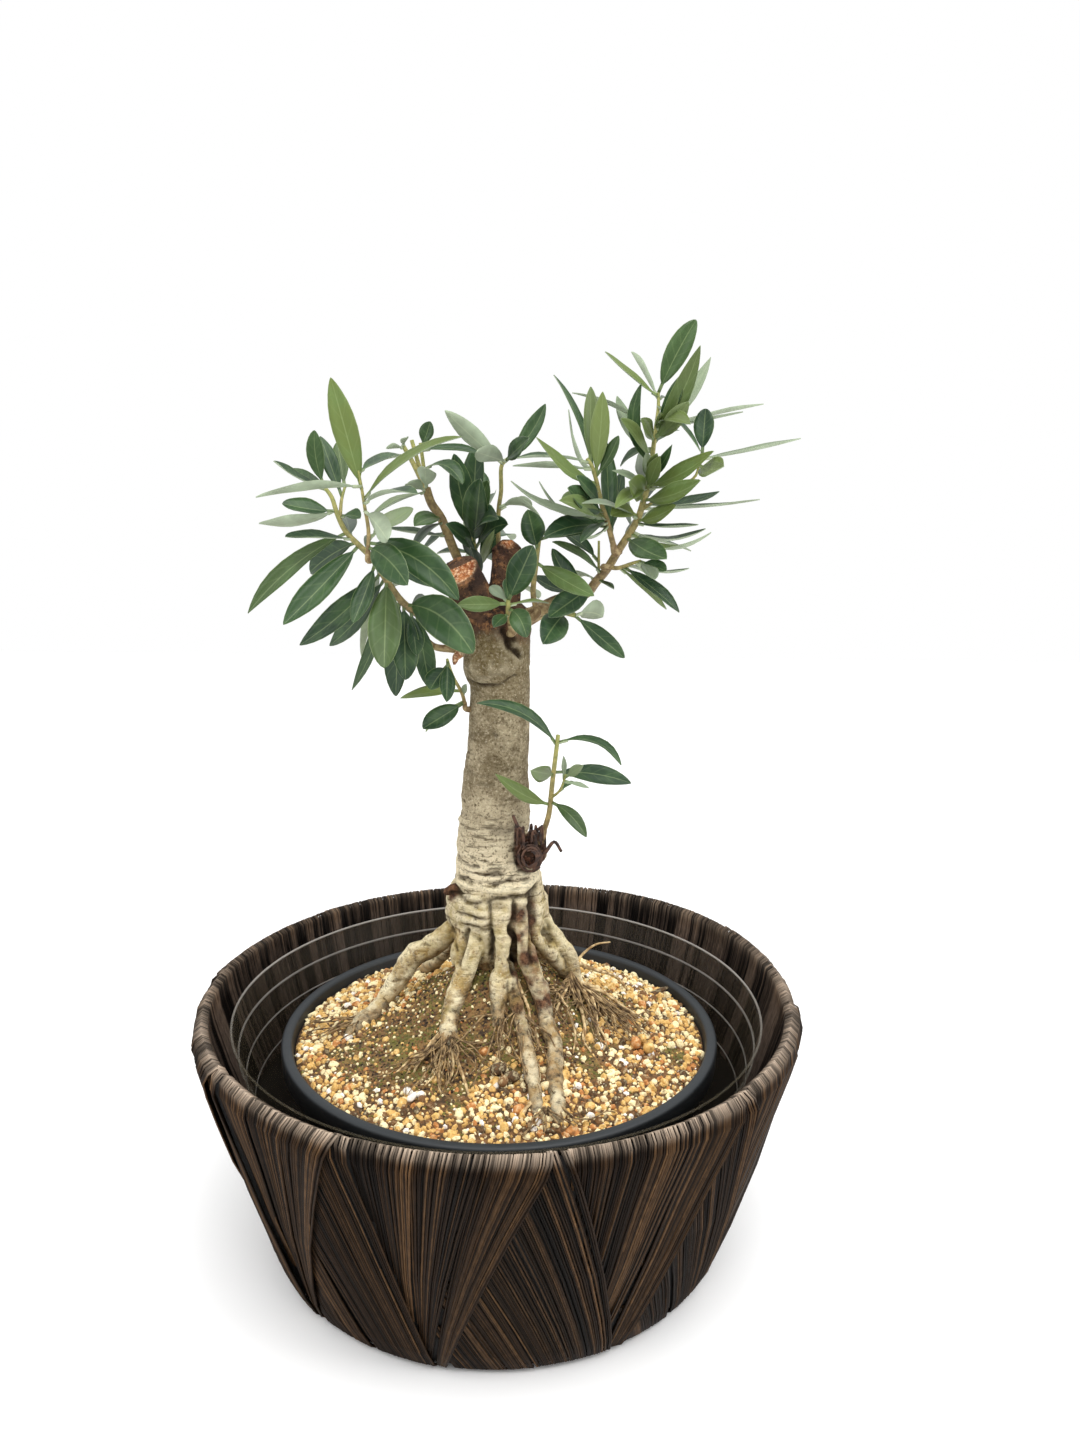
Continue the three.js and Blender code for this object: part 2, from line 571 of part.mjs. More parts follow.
// A round bar bent along points, with a radius at each. Its top may be cut off square to `cut`.
function bar(points, radii, facets, cut) {
  const rows = points.length - 1;
  const geometry = new THREE.CylinderGeometry(1, 1, rows, facets, rows);
  const places = geometry.attributes.position;
  const frames = framesAlong(points);
  for (let i = 0; i < places.count; i += 1) {
    const row = Math.round(places.getY(i) + rows / 2);
    const { along, side, across } = frames[row];
    const spread = side.clone().multiplyScalar(places.getX(i) * radii[row])
      .addScaledVector(across, places.getZ(i) * radii[row]);
    if (cut && row === rows) spread.addScaledVector(along, -spread.dot(cut) / along.dot(cut));
    const place = points[row].clone().add(spread);
    places.setXYZ(i, place.x, place.y, place.z);
  }
  return solid(geometry);
}

function taperedBar({ from, to, path }, facets, extra = 0) {
  const points = path.map(vector);
  const radii = points.map((point, i) => THREE.MathUtils.lerp(from, to, i / (points.length - 1)) + extra);
  return bar(points, radii, facets);
}

// ---- Leaves --------------------------------------------------------------------------------
// Half the width at each station along a leaf, as a share of its whole width.
const BROAD_LEAF = [[0, 0], [0.3, 0.44], [0.68, 0.46], [1, 0]];
const SLIM_LEAF = [[0, 0], [0.5, 0.5], [1, 0]];
const BROAD_FROM = 7;

// The direction of a leaf's upper face: towards the front, turned up about the leaf's own length.
function faceOf(chord, turn) {
  const front = new THREE.Vector3(0, -1, 0);
  front.addScaledVector(chord, -front.dot(chord)).normalize();
  const up = chord.clone().cross(front);
  if (up.z < 0) up.negate();
  const angle = THREE.MathUtils.degToRad(turn);
  return front.multiplyScalar(Math.cos(angle)).addScaledVector(up, Math.sin(angle));
}

function leaf(base, [, , x, y, z, width, turn, arch]) {
  const tip = new THREE.Vector3(x, y, z);
  const chord = tip.clone().sub(base);
  const length = chord.length();
  chord.normalize();
  const rise = new THREE.Vector3(0, 0, 1).addScaledVector(chord, -chord.z).normalize();
  const middle = base.clone().lerp(tip, 0.5).addScaledVector(rise, 2 * arch * length);
  const rib = new THREE.QuadraticBezierCurve3(base, middle, tip);
  const face = faceOf(chord, turn);

  const stations = width < BROAD_FROM ? SLIM_LEAF : BROAD_LEAF;
  const corners = [];
  for (const [station, share] of stations) {
    const along = rib.getTangent(station);
    const normal = face.clone().addScaledVector(along, -face.dot(along)).normalize();
    const across = normal.clone().cross(along);
    const half = station === 1 ? 0 : Math.max(share * width, PETIOLE_HALF_WIDTH);
    for (const [side, layer] of [[-1, 0.5], [1, 0.5], [1, -0.5], [-1, -0.5]]) {
      corners.push(rib.getPoint(station)
        .addScaledVector(across, side * half)
        .addScaledVector(normal, layer * BLADE_THICKNESS));
    }
  }
  // A station holds its upper left, upper right, lower right and lower left corners.
  // Both faces are split along the same diagonal.
  const faces = [2, 3, 0, 2, 0, 1];
  for (let row = 0; row < stations.length - 1; row += 1) {
    const [a, b, c, d] = [0, 1, 2, 3].map((corner) => row * 4 + corner);
    faces.push(a, a + 4, b + 4, a, b + 4, b);
    faces.push(d, c + 4, d + 4, d, c, c + 4);
    faces.push(d, d + 4, a + 4, d, a + 4, a);
    faces.push(c, b, b + 4, c, b + 4, c + 4);
  }
  const geometry = new THREE.BufferGeometry().setFromPoints(corners);
  geometry.setIndex(faces);
  return solid(geometry);
}

// ---- Shoots --------------------------------------------------------------------------------
function pathOf(spray) {
  return spray.stems.map((stem) => stem.path.map(vector));
}

// The flat-ended stub on the parent from which a shoot grows.
function collarOf(spray) {
  const [start, next] = pathOf(spray)[0];
  const along = next.clone().sub(start).normalize();
  const points = [vector(spray.collar), start.clone().addScaledVector(along, -COLLAR_STRAIGHT), start];
  const radius = spray.stems[0].from;
  return bar(points, [radius, radius, radius], STEM_FACETS);
}

function collarsOn(parent) {
  return SPRAYS.filter((spray) => spray.parent === parent).map(collarOf);
}

function shoot(spray) {
  const paths = pathOf(spray);
  const [start, next] = paths[0];
  start.addScaledVector(next.clone().sub(start).normalize(), GAP);
  const stems = paths.map((points, i) => {
    const { from, to } = spray.stems[i];
    const radii = points.map((point, k) => THREE.MathUtils.lerp(from, to, k / (points.length - 1)));
    return bar(points, radii, STEM_FACETS);
  });
  const leaves = spray.leaves.map((row) => {
    const points = paths[row[0]];
    const before = Math.min(Math.floor(row[1]), points.length - 2);
    return leaf(points[before].clone().lerp(points[before + 1], row[1] - before), row);
  });
  return join([...stems, ...leaves, ...collarsOn(spray.name)]).asOriginal().simplify(SEAM_TOLERANCE);
}

// ---- Trunk and roots -----------------------------------------------------------------------
const TRUNK_FACETS = 14;
const ROOT_FACETS = 6;
const ROOTLET_FACETS = 4;
const STUMP_FACETS = 10;
const BURR_DETAIL = 2;

function trunkBar(extra) {
  const points = TRUNK.map(([x, y, z]) => new THREE.Vector3(x, y, z));
  return bar(points, TRUNK.map(([, , , radius]) => radius + extra), TRUNK_FACETS);
}

// Trunk foot, roots and rootlets, made `extra` thicker to shape the hole that they leave in the soil.
function rootSystem(extra) {
  const roots = ROOTS.map((root) => taperedBar(root, ROOT_FACETS, extra));
  const rootlets = ROOTLETS
    .map((path) => taperedBar({ from: ROOTLET_FROM, to: ROOTLET_TO, path }, ROOTLET_FACETS, extra));
  return join([trunkBar(extra), ...roots, ...rootlets]);
}

function burr() {
  const geometry = new THREE.IcosahedronGeometry(BURR.radius, BURR_DETAIL);
  geometry.scale(...BURR.stretch);
  geometry.translate(...BURR.centre);
  return solid(geometry);
}

function trunk() {
  const stumps = STUMPS.map(({ radius, path, cut }) => {
    const points = path.map(vector);
    return bar(points, points.map(() => radius), STUMP_FACETS, vector(cut).normalize());
  });
  const twigs = DEAD_TWIGS.map((twig) => taperedBar(twig, STEM_FACETS));
  const whole = join([rootSystem(0), burr(), ...stumps, ...twigs, ...collarsOn('trunk')]);
  return whole.asOriginal().simplify(SEAM_TOLERANCE);
}

// ---- Soil ----------------------------------------------------------------------------------
// Grit heaped up to the trunk. Each corner of its top is moved a little, as loose grains lie.
function soil() {
  const edge = potInside(SOIL_EDGE) - GAP;
  const under = POT_FLOOR + GAP;
  const profile = [[0, under], [potInside(under) - GAP, under]];
  for (let ring = 0; ring <= SOIL_RINGS; ring += 1) {
    const radius = edge * (1 - ring / SOIL_RINGS);
    const dome = SOIL_DOME * (1 - (radius / edge) ** 2);
    const heap = SOIL_HEAP * Math.exp(-((radius / HEAP_SPREAD) ** 2));
    profile.push([radius, SOIL_EDGE + dome + heap]);
  }
  const geometry = turned(profile, ROUND_FACETS);
  const places = geometry.attributes.position;
  for (let i = 0; i < places.count; i += 1) {
    const [x, y, z] = [places.getX(i), places.getY(i), places.getZ(i)];
    const radius = Math.hypot(x, y);
    if (z < SOIL_EDGE - 1 || radius < 1 || radius > edge - 1) continue;
    const index = Math.round(x * 10) * 0.37 + Math.round(y * 10) * 0.91;
    places.setZ(i, z + SOIL_ROUGHNESS * scatter(index, 3));
  }
  geometry.translate(...POT_CENTRE, 0);
  return largest(solid(geometry).subtract(rootSystem(GAP))).asOriginal().simplify(SEAM_TOLERANCE);
}

// ---- Pots ----------------------------------------------------------------------------------
// Inner radius of the nursery pot at a height.
function potInside(height) {
  return THREE.MathUtils.mapLinear(height, POT_FLOOR, POT_TOP - POT_EDGE, POT_FOOT, POT_RADIUS - POT_LIP);
}

function nurseryPot() {
  const under = POT_FLOOR - POT_WALL;
  const lipBottom = POT_TOP - POT_LIP_HEIGHT;
  const profile = [
    [0, under], [POT_FOOT + POT_WALL, under], [potInside(lipBottom) + POT_WALL, lipBottom],
    [POT_RADIUS - 1, lipBottom], [POT_RADIUS, POT_TOP - POT_EDGE], [POT_RADIUS - POT_EDGE, POT_TOP],
    [POT_RADIUS - POT_LIP + 1, POT_TOP], [POT_RADIUS - POT_LIP, POT_TOP - POT_EDGE],
    [POT_FOOT, POT_FLOOR], [0, POT_FLOOR],
  ];
  let pot = solid(turned(profile, ROUND_FACETS));
  for (let hole = 0; hole < 5; hole += 1) {
    const angle = (hole / 5) * Math.PI * 2;
    const drill = new THREE.CylinderGeometry(DRAIN_RADIUS, DRAIN_RADIUS, 10, 10).rotateX(Math.PI / 2);
    drill.translate(DRAIN_CIRCLE * Math.cos(angle), DRAIN_CIRCLE * Math.sin(angle), under);
    pot = pot.subtract(solid(drill));
  }
  return pot.translate([...POT_CENTRE, 0]);
}

// A thin clear cup with two moulded steps, wider at its lip.
function liner() {
  const under = FLOOR + GAP;
  const outside = [
    [82, under], [98, 66], [101, 78], [103.7, 88], [106.4, LINER_TOP - 2], [LINER_RADIUS, LINER_TOP],
  ];
  const inside = [[LINER_RADIUS - 2, LINER_TOP], [102.5, 88], [97, 66], [81, under + LINER_WALL]];
  const profile = [[0, under], ...outside, ...inside, [0, under + LINER_WALL]];
  return solid(turned(profile, ROUND_FACETS));
}

// Columns of facets round the cachepot. A band rises from under its left neighbour to its own free
// edge on the right, and its sides slant from the rim to the base.
function wrapColumns() {
  const columns = [];
  const edges = [];
  WRAPS.forEach(([rim, base], i) => {
    const [nextRim] = WRAPS[(i + 1) % WRAPS.length];
    const turn = i + 1 === WRAPS.length ? 360 : 0;
    edges.push([rim, base]);
    edges.push([nextRim + turn - WRAP_OVERHANG_RIM, base + WRAP_OVERHANG_BASE]);
  });
  edges.forEach(([rim, base], i) => {
    const last = i + 1 === edges.length;
    const [endRim, endBase] = last ? [edges[0][0] + 360, edges[0][1] + 360] : edges[i + 1];
    for (let k = 0; k <= WRAP_COLUMNS; k += 1) {
      const share = k === 0 ? 0.015 : k / WRAP_COLUMNS;
      const lift = WRAP_LIFT * (k / WRAP_COLUMNS) ** 1.5;
      const onRim = THREE.MathUtils.lerp(rim, endRim, share);
      const onBase = THREE.MathUtils.lerp(base, endBase, share);
      columns.push([onRim, onBase, lift]);
    }
  });
  return columns;
}

function cachepot() {
  const rim = RIM_RADIUS;
  const profile = [
    [0, 0], [BASE_RADIUS - 3, 0], [BASE_RADIUS, 2], [99.5, 24], [107, 48], [113.5, 72], [rim - 3, 90],
    [rim - 1.5, 99], [rim - 2, 103], [rim - 4, RIM_HEIGHT], [rim - 6.5, RIM_HEIGHT - 2],
    [rim - WALL - 3, 96], [BASE_RADIUS - WALL, FLOOR], [0, FLOOR],
  ];
  const wrapped = [0, 0, 1, 1, 1, 1, 1, 1, 0.8, 0.6, 0.3, 0, 0, 0];
  const columns = wrapColumns();
  const geometry = turned(profile, columns.length);
  const places = geometry.attributes.position;
  for (let i = 0; i < places.count; i += 1) {
    const [column, row] = [Math.floor(i / profile.length) % columns.length, i % profile.length];
    const [rimAngle, baseAngle, lift] = columns[column];
    const [radius, height] = profile[row];
    const angle = THREE.MathUtils.degToRad(THREE.MathUtils.lerp(baseAngle, rimAngle, height / RIM_HEIGHT));
    const reach = radius + (radius > 0 ? lift * wrapped[row] : 0);
    places.setXYZ(i, reach * Math.sin(angle), -reach * Math.cos(angle), height);
  }
  return solid(geometry);
}

// ---- The whole plant -----------------------------------------------------------------------
const bonsai = new THREE.Group();
bonsai.add(node('cachepot', cachepot(), wicker));
bonsai.add(node('liner', liner(), clearPlastic));
bonsai.add(node('nursery_pot', nurseryPot(), blackPlastic));
bonsai.add(node('soil', soil(), grit));
bonsai.add(node('trunk', trunk(), bark));
for (const spray of SPRAYS) bonsai.add(node(spray.name, shoot(spray), foliage));

export default bonsai;
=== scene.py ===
"""Builds an olive bonsai in a nursery pot, in a clear liner, in a wicker cachepot.

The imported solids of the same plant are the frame. Each operator below makes one piece, or one group
of like pieces, over them. Tables are in millimetres, and meshes in metres, +Z up, front towards -Y.
"""

import math

import bpy
import numpy as np
from mathutils import Matrix


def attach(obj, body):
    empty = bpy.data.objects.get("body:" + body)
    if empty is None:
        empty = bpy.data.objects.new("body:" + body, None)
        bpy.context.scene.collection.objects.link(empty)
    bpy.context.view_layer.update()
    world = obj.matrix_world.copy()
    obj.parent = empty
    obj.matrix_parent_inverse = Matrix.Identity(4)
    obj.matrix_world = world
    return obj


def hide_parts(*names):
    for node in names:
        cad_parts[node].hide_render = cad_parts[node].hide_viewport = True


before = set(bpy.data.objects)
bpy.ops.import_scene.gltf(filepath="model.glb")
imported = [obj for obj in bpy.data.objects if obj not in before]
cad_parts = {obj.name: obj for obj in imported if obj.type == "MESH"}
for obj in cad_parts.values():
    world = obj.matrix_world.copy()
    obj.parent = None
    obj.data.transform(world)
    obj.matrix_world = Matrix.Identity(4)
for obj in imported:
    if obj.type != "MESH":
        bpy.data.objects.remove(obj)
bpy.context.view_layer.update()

bl_info = {
    "name": "Olive Bonsai Builder",
    "version": (1, 0, 0),
    "blender": (4, 5, 0),
    "location": "3D View > Sidebar > Bonsai",
    "description": "Builds an olive bonsai in a nursery pot, a clear liner and a wicker cachepot",
    "category": "Add Mesh",
}

MM = 0.001


def linear(hex_colour):
    """Turns an sRGB hex colour such as #a89a80 into linear red, green and blue."""
    channels = [int(hex_colour[i:i + 2], 16) / 255 for i in (1, 3, 5)]
    return tuple(c / 12.92 if c <= 0.04045 else ((c + 0.055) / 1.055) ** 2.4 for c in channels)


# ---- The plant's measurements, in millimetres ------------------------------------------------

# Cachepot: radius and height along its outer wall, over the rim and down the inside.
WALL_PROFILE = [(90.6, 0.7), (92.6, 2.6), (95.4, 10.0), (99.5, 24.0), (107.0, 48.0), (113.5, 72.0),
    (118.8, 90.0), (120.9, 98.0), (120.4, 102.4), (118.2, 104.6), (116.2, 103.2), (115.2, 96.0),
    (110.0, 77.0), (103.5, 58.0)]
RIM_STATION = 9  # the point of the profile on top of the rim
SPRUNG_BEARING, SPRUNG_SPREAD = 132, 38  # where the rim has sprung up and out, in degrees from the front
SPRUNG_UP, SPRUNG_OUT = 2.8, 1.6
BAND_LIFT = 2.0  # how far the free edge of a band stands out
PLEAT_LIFT = 0.7
CREASE_DEPTH = 0.55  # how deep the creases between bundles of strands are
BUNDLE = 8  # strands between one crease and the next, on average

# Where the bands of the wrap start: degrees on the rim and at the base, from the front to the right.
BANDS = [(-53.2, -44.4), (-21.5, -10.8), (13.1, 29.7)] + [(49 + 36 * i, 61 + 36 * i) for i in range(7)]

POT_CENTRE = (1.0, -4.0)
SOIL_RADIUS = 83.1
SOIL_EDGE = 85.5
SOIL_DOME = 12.0
SOIL_HEAP = 26.0
HEAP_SPREAD = 30.0

# Trunk: x, y, z and radius, from below the soil up to the crown.
TRUNK = [(0, 0, 98, 11), (0, 0, 112, 12.5), (0, 0, 122, 15.5), (0, 0, 130, 18.5), (0, 0, 137, 20.2),
    (-1, 0, 142, 20), (-0.5, 0, 148, 18.6), (-0.5, 0, 152, 17), (-2, 0, 156, 14.8), (-2.2, 0, 165, 13.7),
    (-1.9, 0, 175, 13.5), (-1.4, 0, 186, 13.1), (-1, 0, 196, 12.7), (-0.2, 0, 208, 12.2),
    (0.2, 0, 222, 11.8), (0.2, 0, 234, 11.7), (-1, 0, 240, 13), (-0.6, 0, 248, 12.6),
    (0, 0, 256, 12.4), (0.3, 0, 262, 11), (0.4, 0, 265, 7.5)]

# Roots: the radius at each end, and points of x, y and z.
ROOTS = [
    (4.6, 3.2, [(-10, 0, 137), (-20, 0, 130), (-27, 1, 123), (-35, 2, 118), (-40, 2, 110),
        (-45, 2, 102), (-49, -2, 97), (-55, -9, 94), (-60, -16, 88)]),
    (4.3, 3.4, [(-5, -9, 142), (-8, -14, 134), (-11, -17, 125), (-14, -20, 116), (-17, -25, 109),
        (-18, -32, 104), (-18, -40, 97)]),
    (4, 3, [(1, -11, 154), (1, -14, 147), (2, -17, 139), (3, -20, 128), (1, -22, 119),
        (1, -27, 112), (1, -33, 104)]),
    (4.4, 2.5, [(8, -10, 154), (9, -13, 147), (10, -17, 135), (12, -19, 128), (15, -21, 119),
        (18, -24, 112), (20, -31, 105), (23, -39, 100), (23, -53, 95), (24, -68, 90), (24, -74, 84)]),
    (3, 2.4, [(4, -18, 126), (6, -22, 116), (9, -30, 109), (12, -40, 102), (14, -52, 97),
        (16, -64, 92), (17, -72, 85)]),
    (3.2, 2.2, [(12, -3, 146), (19, -4, 136), (24, -3, 128), (29, -1, 121), (31, 0, 113),
        (33, 1, 106), (36, -4, 102), (37, -10, 97)]),
    (3.3, 2.3, [(10, -6, 140), (15, -9, 132), (21, -6, 124), (26, 0, 114), (31, 4, 106), (34, 6, 98)]),
    (5, 2.6, [(-6, 8, 142), (-13, 15, 130), (-20, 22, 117), (-27, 30, 105), (-34, 38, 95),
        (-40, 44, 87)]),
    (5, 2.8, [(5, 9, 142), (9, 17, 130), (14, 26, 116), (18, 37, 104), (21, 48, 94), (23, 56, 86)]),
    (5, 3.2, [(-10, -8, 140), (-13, -11, 132), (-15, -13, 125), (-15, -14, 121)]),
]
ROOTLETS = [[(6, -17, 122), (10, -23, 114), (13, -29, 109), (13, -36, 101)],
    [(33, 1, 108), (43, 6, 101), (51, 4, 96), (57, -5, 94), (60, -14, 88)],
    [(34, 1, 105), (44, -3, 101), (51, -10, 96), (53, -27, 91)],
    [(33, 1, 108), (38, -6, 105), (40, -18, 100), (40, -38, 92)],
    [(32, 0, 110), (33, -11, 106), (35, -28, 99), (31, -45, 92)],
    [(31, 0, 114), (28, -9, 110), (24, -22, 107), (22, -31, 101)],
    [(30, 3, 116), (40, 12, 108), (50, 22, 100), (57, 28, 89)],
    [(-18, -31, 104), (-24, -37, 100), (-28, -44, 96), (-32, -51, 90)],
    [(-18, -31, 104), (-20, -45, 97), (-20, -55, 94), (-17, -67, 88)],
    [(-18, -31, 104), (-14, -46, 98), (-10, -57, 94), (-6, -69, 88)],
    [(16, -63, 92), (20, -70, 90), (23, -79, 84)], [(16, -63, 92), (12, -70, 91), (9, -79, 84)]]
LOOSE_ROOTS = [[(30, 20, 103), (34.5, 25, 107.8), (41, 31, 110.8), (48, 35, 110.5)],
    [(22, -14, 110), (27, -20, 108), (31, -30, 101), (30, -40, 95)],
    [(31, 0, 112), (36, -8, 106), (38, -17, 101), (43, -27, 97), (42, -34, 95)],
    [(33, 1, 107), (41, -4, 103), (47, -13, 99), (48, -20, 96), (53, -25, 95)],
    [(30, -2, 113), (31, -12, 107), (35, -20, 102), (34, -31, 97), (37, -37, 96)],
    [(34, 4, 104), (43, 3, 102), (51, -3, 99), (61, -8, 95)],
    [(-18, -36, 100), (-22, -45, 97), (-21, -52, 96), (-25, -59, 94)],
    [(-17, -37, 100), (-15, -50, 96), (-17, -59, 94)],
    [(-19, -35, 101), (-27, -42, 98), (-31, -44, 97), (-36, -51, 95)]]
# Fans of fine rootlets: where each starts, the way it spreads in degrees, its spread and its count.
ROOTLET_FANS = [((-18, -32, 103), -95, 40, 24), ((20, -66, 91), -90, 45, 10), ((34, 0, 106), -65, 55, 26),
    ((30, -3, 114), -80, 45, 18), ((38, 0, 101), -30, 45, 12), ((-54, -6, 94), -160, 40, 7),
    ((10, -29, 109), -88, 40, 12), ((1, -30, 107), -90, 50, 8)]

# Where the grit thins out and moss or wet compost shows: x, y, radius and the moss's share.
BARE_PATCHES = [(-49, -30, 20, 0.5), (-34, -42, 19, 0.7), (-18, -50, 15, 0.1), (-58, -8, 10, 0.3),
    (36, -42, 7, 0.9), (71, -24, 7, 1.0), (-14, -68, 6, 0.3), (48, 8, 12, 0.0)]
# Bits that lie on the grit: x, y, length, radius, bearing in degrees, and tone.
LOOSE_BITS = [(-29, -63, 5.0, 1.3, 60, 0.99), (-31, -60, 3.2, 1.4, 150, 0.99),
    (-26, -62, 2.8, 1.2, 20, 0.99), (-64, 9, 3, 1.2, 0, 0.99), (2, -53, 6, 2.2, 30, 0.84),
    (7, -56, 6, 2.0, -20, 0.84), (4, -58, 5, 1.8, 70, 0.4), (55, -27, 3.6, 2.5, 10, 0.78),
    (60, -28, 3.4, 2.3, 80, 0.5), (58, -23, 3, 2.2, 40, 0.1), (69, 30, 12, 1.2, 35, 0.84)]

# Stumps of pruned limbs: radius, points, and the way that the cut faces.
STUMPS = [
    (7.7, [(-5, 2, 254), (-9, -2, 264), (-13, -6, 273), (-15.5, -9, 279)], (-0.2, -0.8, 0.57)),
    (5.9, [(2, 1, 256), (2, 2, 266), (3, 3, 278), (3, 3, 288)], (0.4, -0.78, 0.48)),
]
BURR = (13.0, -9, 168)
KNOB = (2.4, 1.0, [(-15, -6, 149.5), (-18, -8, 150.5), (-20.5, -9, 150)])
BARK_FLAP = (2.0, 0.7, [(-13.5, -8, 247), (-16, -9.5, 245), (-16.5, -10, 242)])

# Marks on the front of the bark, each a line from x and z to x and z with its width and its depth.
GAPS = [((-2.7, 149), (-2.3, 124), 1.0, 3.0), ((6.1, 149.5), (6.4, 122), 1.0, 3.0),
    ((13.2, 151), (13.9, 126), 1.2, 3.0), ((-11.2, 137), (-14.8, 124), 0.9, 2.2),
    ((-19.5, 139), (-16.5, 129), 0.9, 1.8), ((19.5, 143), (21, 128), 1.0, 1.6)]
FOLDS = [((-18, 150.5), (-9, 148.6), 0.9, 1.6), ((-9, 148.6), (-2.6, 150.2), 0.9, 2.0),
    ((-2.6, 150.4), (6, 151.2), 1.0, 2.6), ((6, 151.2), (14, 152.6), 1.0, 2.0),
    ((-16, 144), (-5, 143.2), 0.7, 1.2), ((-14, 139.5), (-4, 138.5), 0.6, 0.9),
    ((-15, 156), (10, 157.5), 0.7, 1.0), ((-15, 162), (4, 161), 0.6, 0.8)]
CREASES = [((-12.7, 235), (-6, 234.6), 0.7, 1.1), ((-6, 234.6), (0.5, 235.3), 0.7, 1.0),
    ((0.5, 235.3), (7, 238.5), 0.7, 0.7), ((-14, 199), (12, 197), 0.6, 0.6)]
CRACKS = [((1.5, 255.4), (4.6, 250), 1.3, 3.2), ((4.6, 250), (8, 246), 0.9, 2.4),
    ((3.6, 254), (6.6, 251.5), 0.7, 1.5), ((-1.6, 215.6), (-0.8, 214.6), 0.9, 1.2)]
DEAD_TWIGS = [
    (1.8, 1.0, [(-9, -1, 246), (-18, -3, 247), (-25, -3, 248), (-30, -2, 253)]),
    (1.2, 0.6, [(9, -10, 168), (10, -13, 174), (8, -14, 179), (6, -14, 184)]),
    (1.0, 0.6, [(14, -10, 168), (18, -13, 168), (22, -13, 173), (25, -13, 169)]),
]

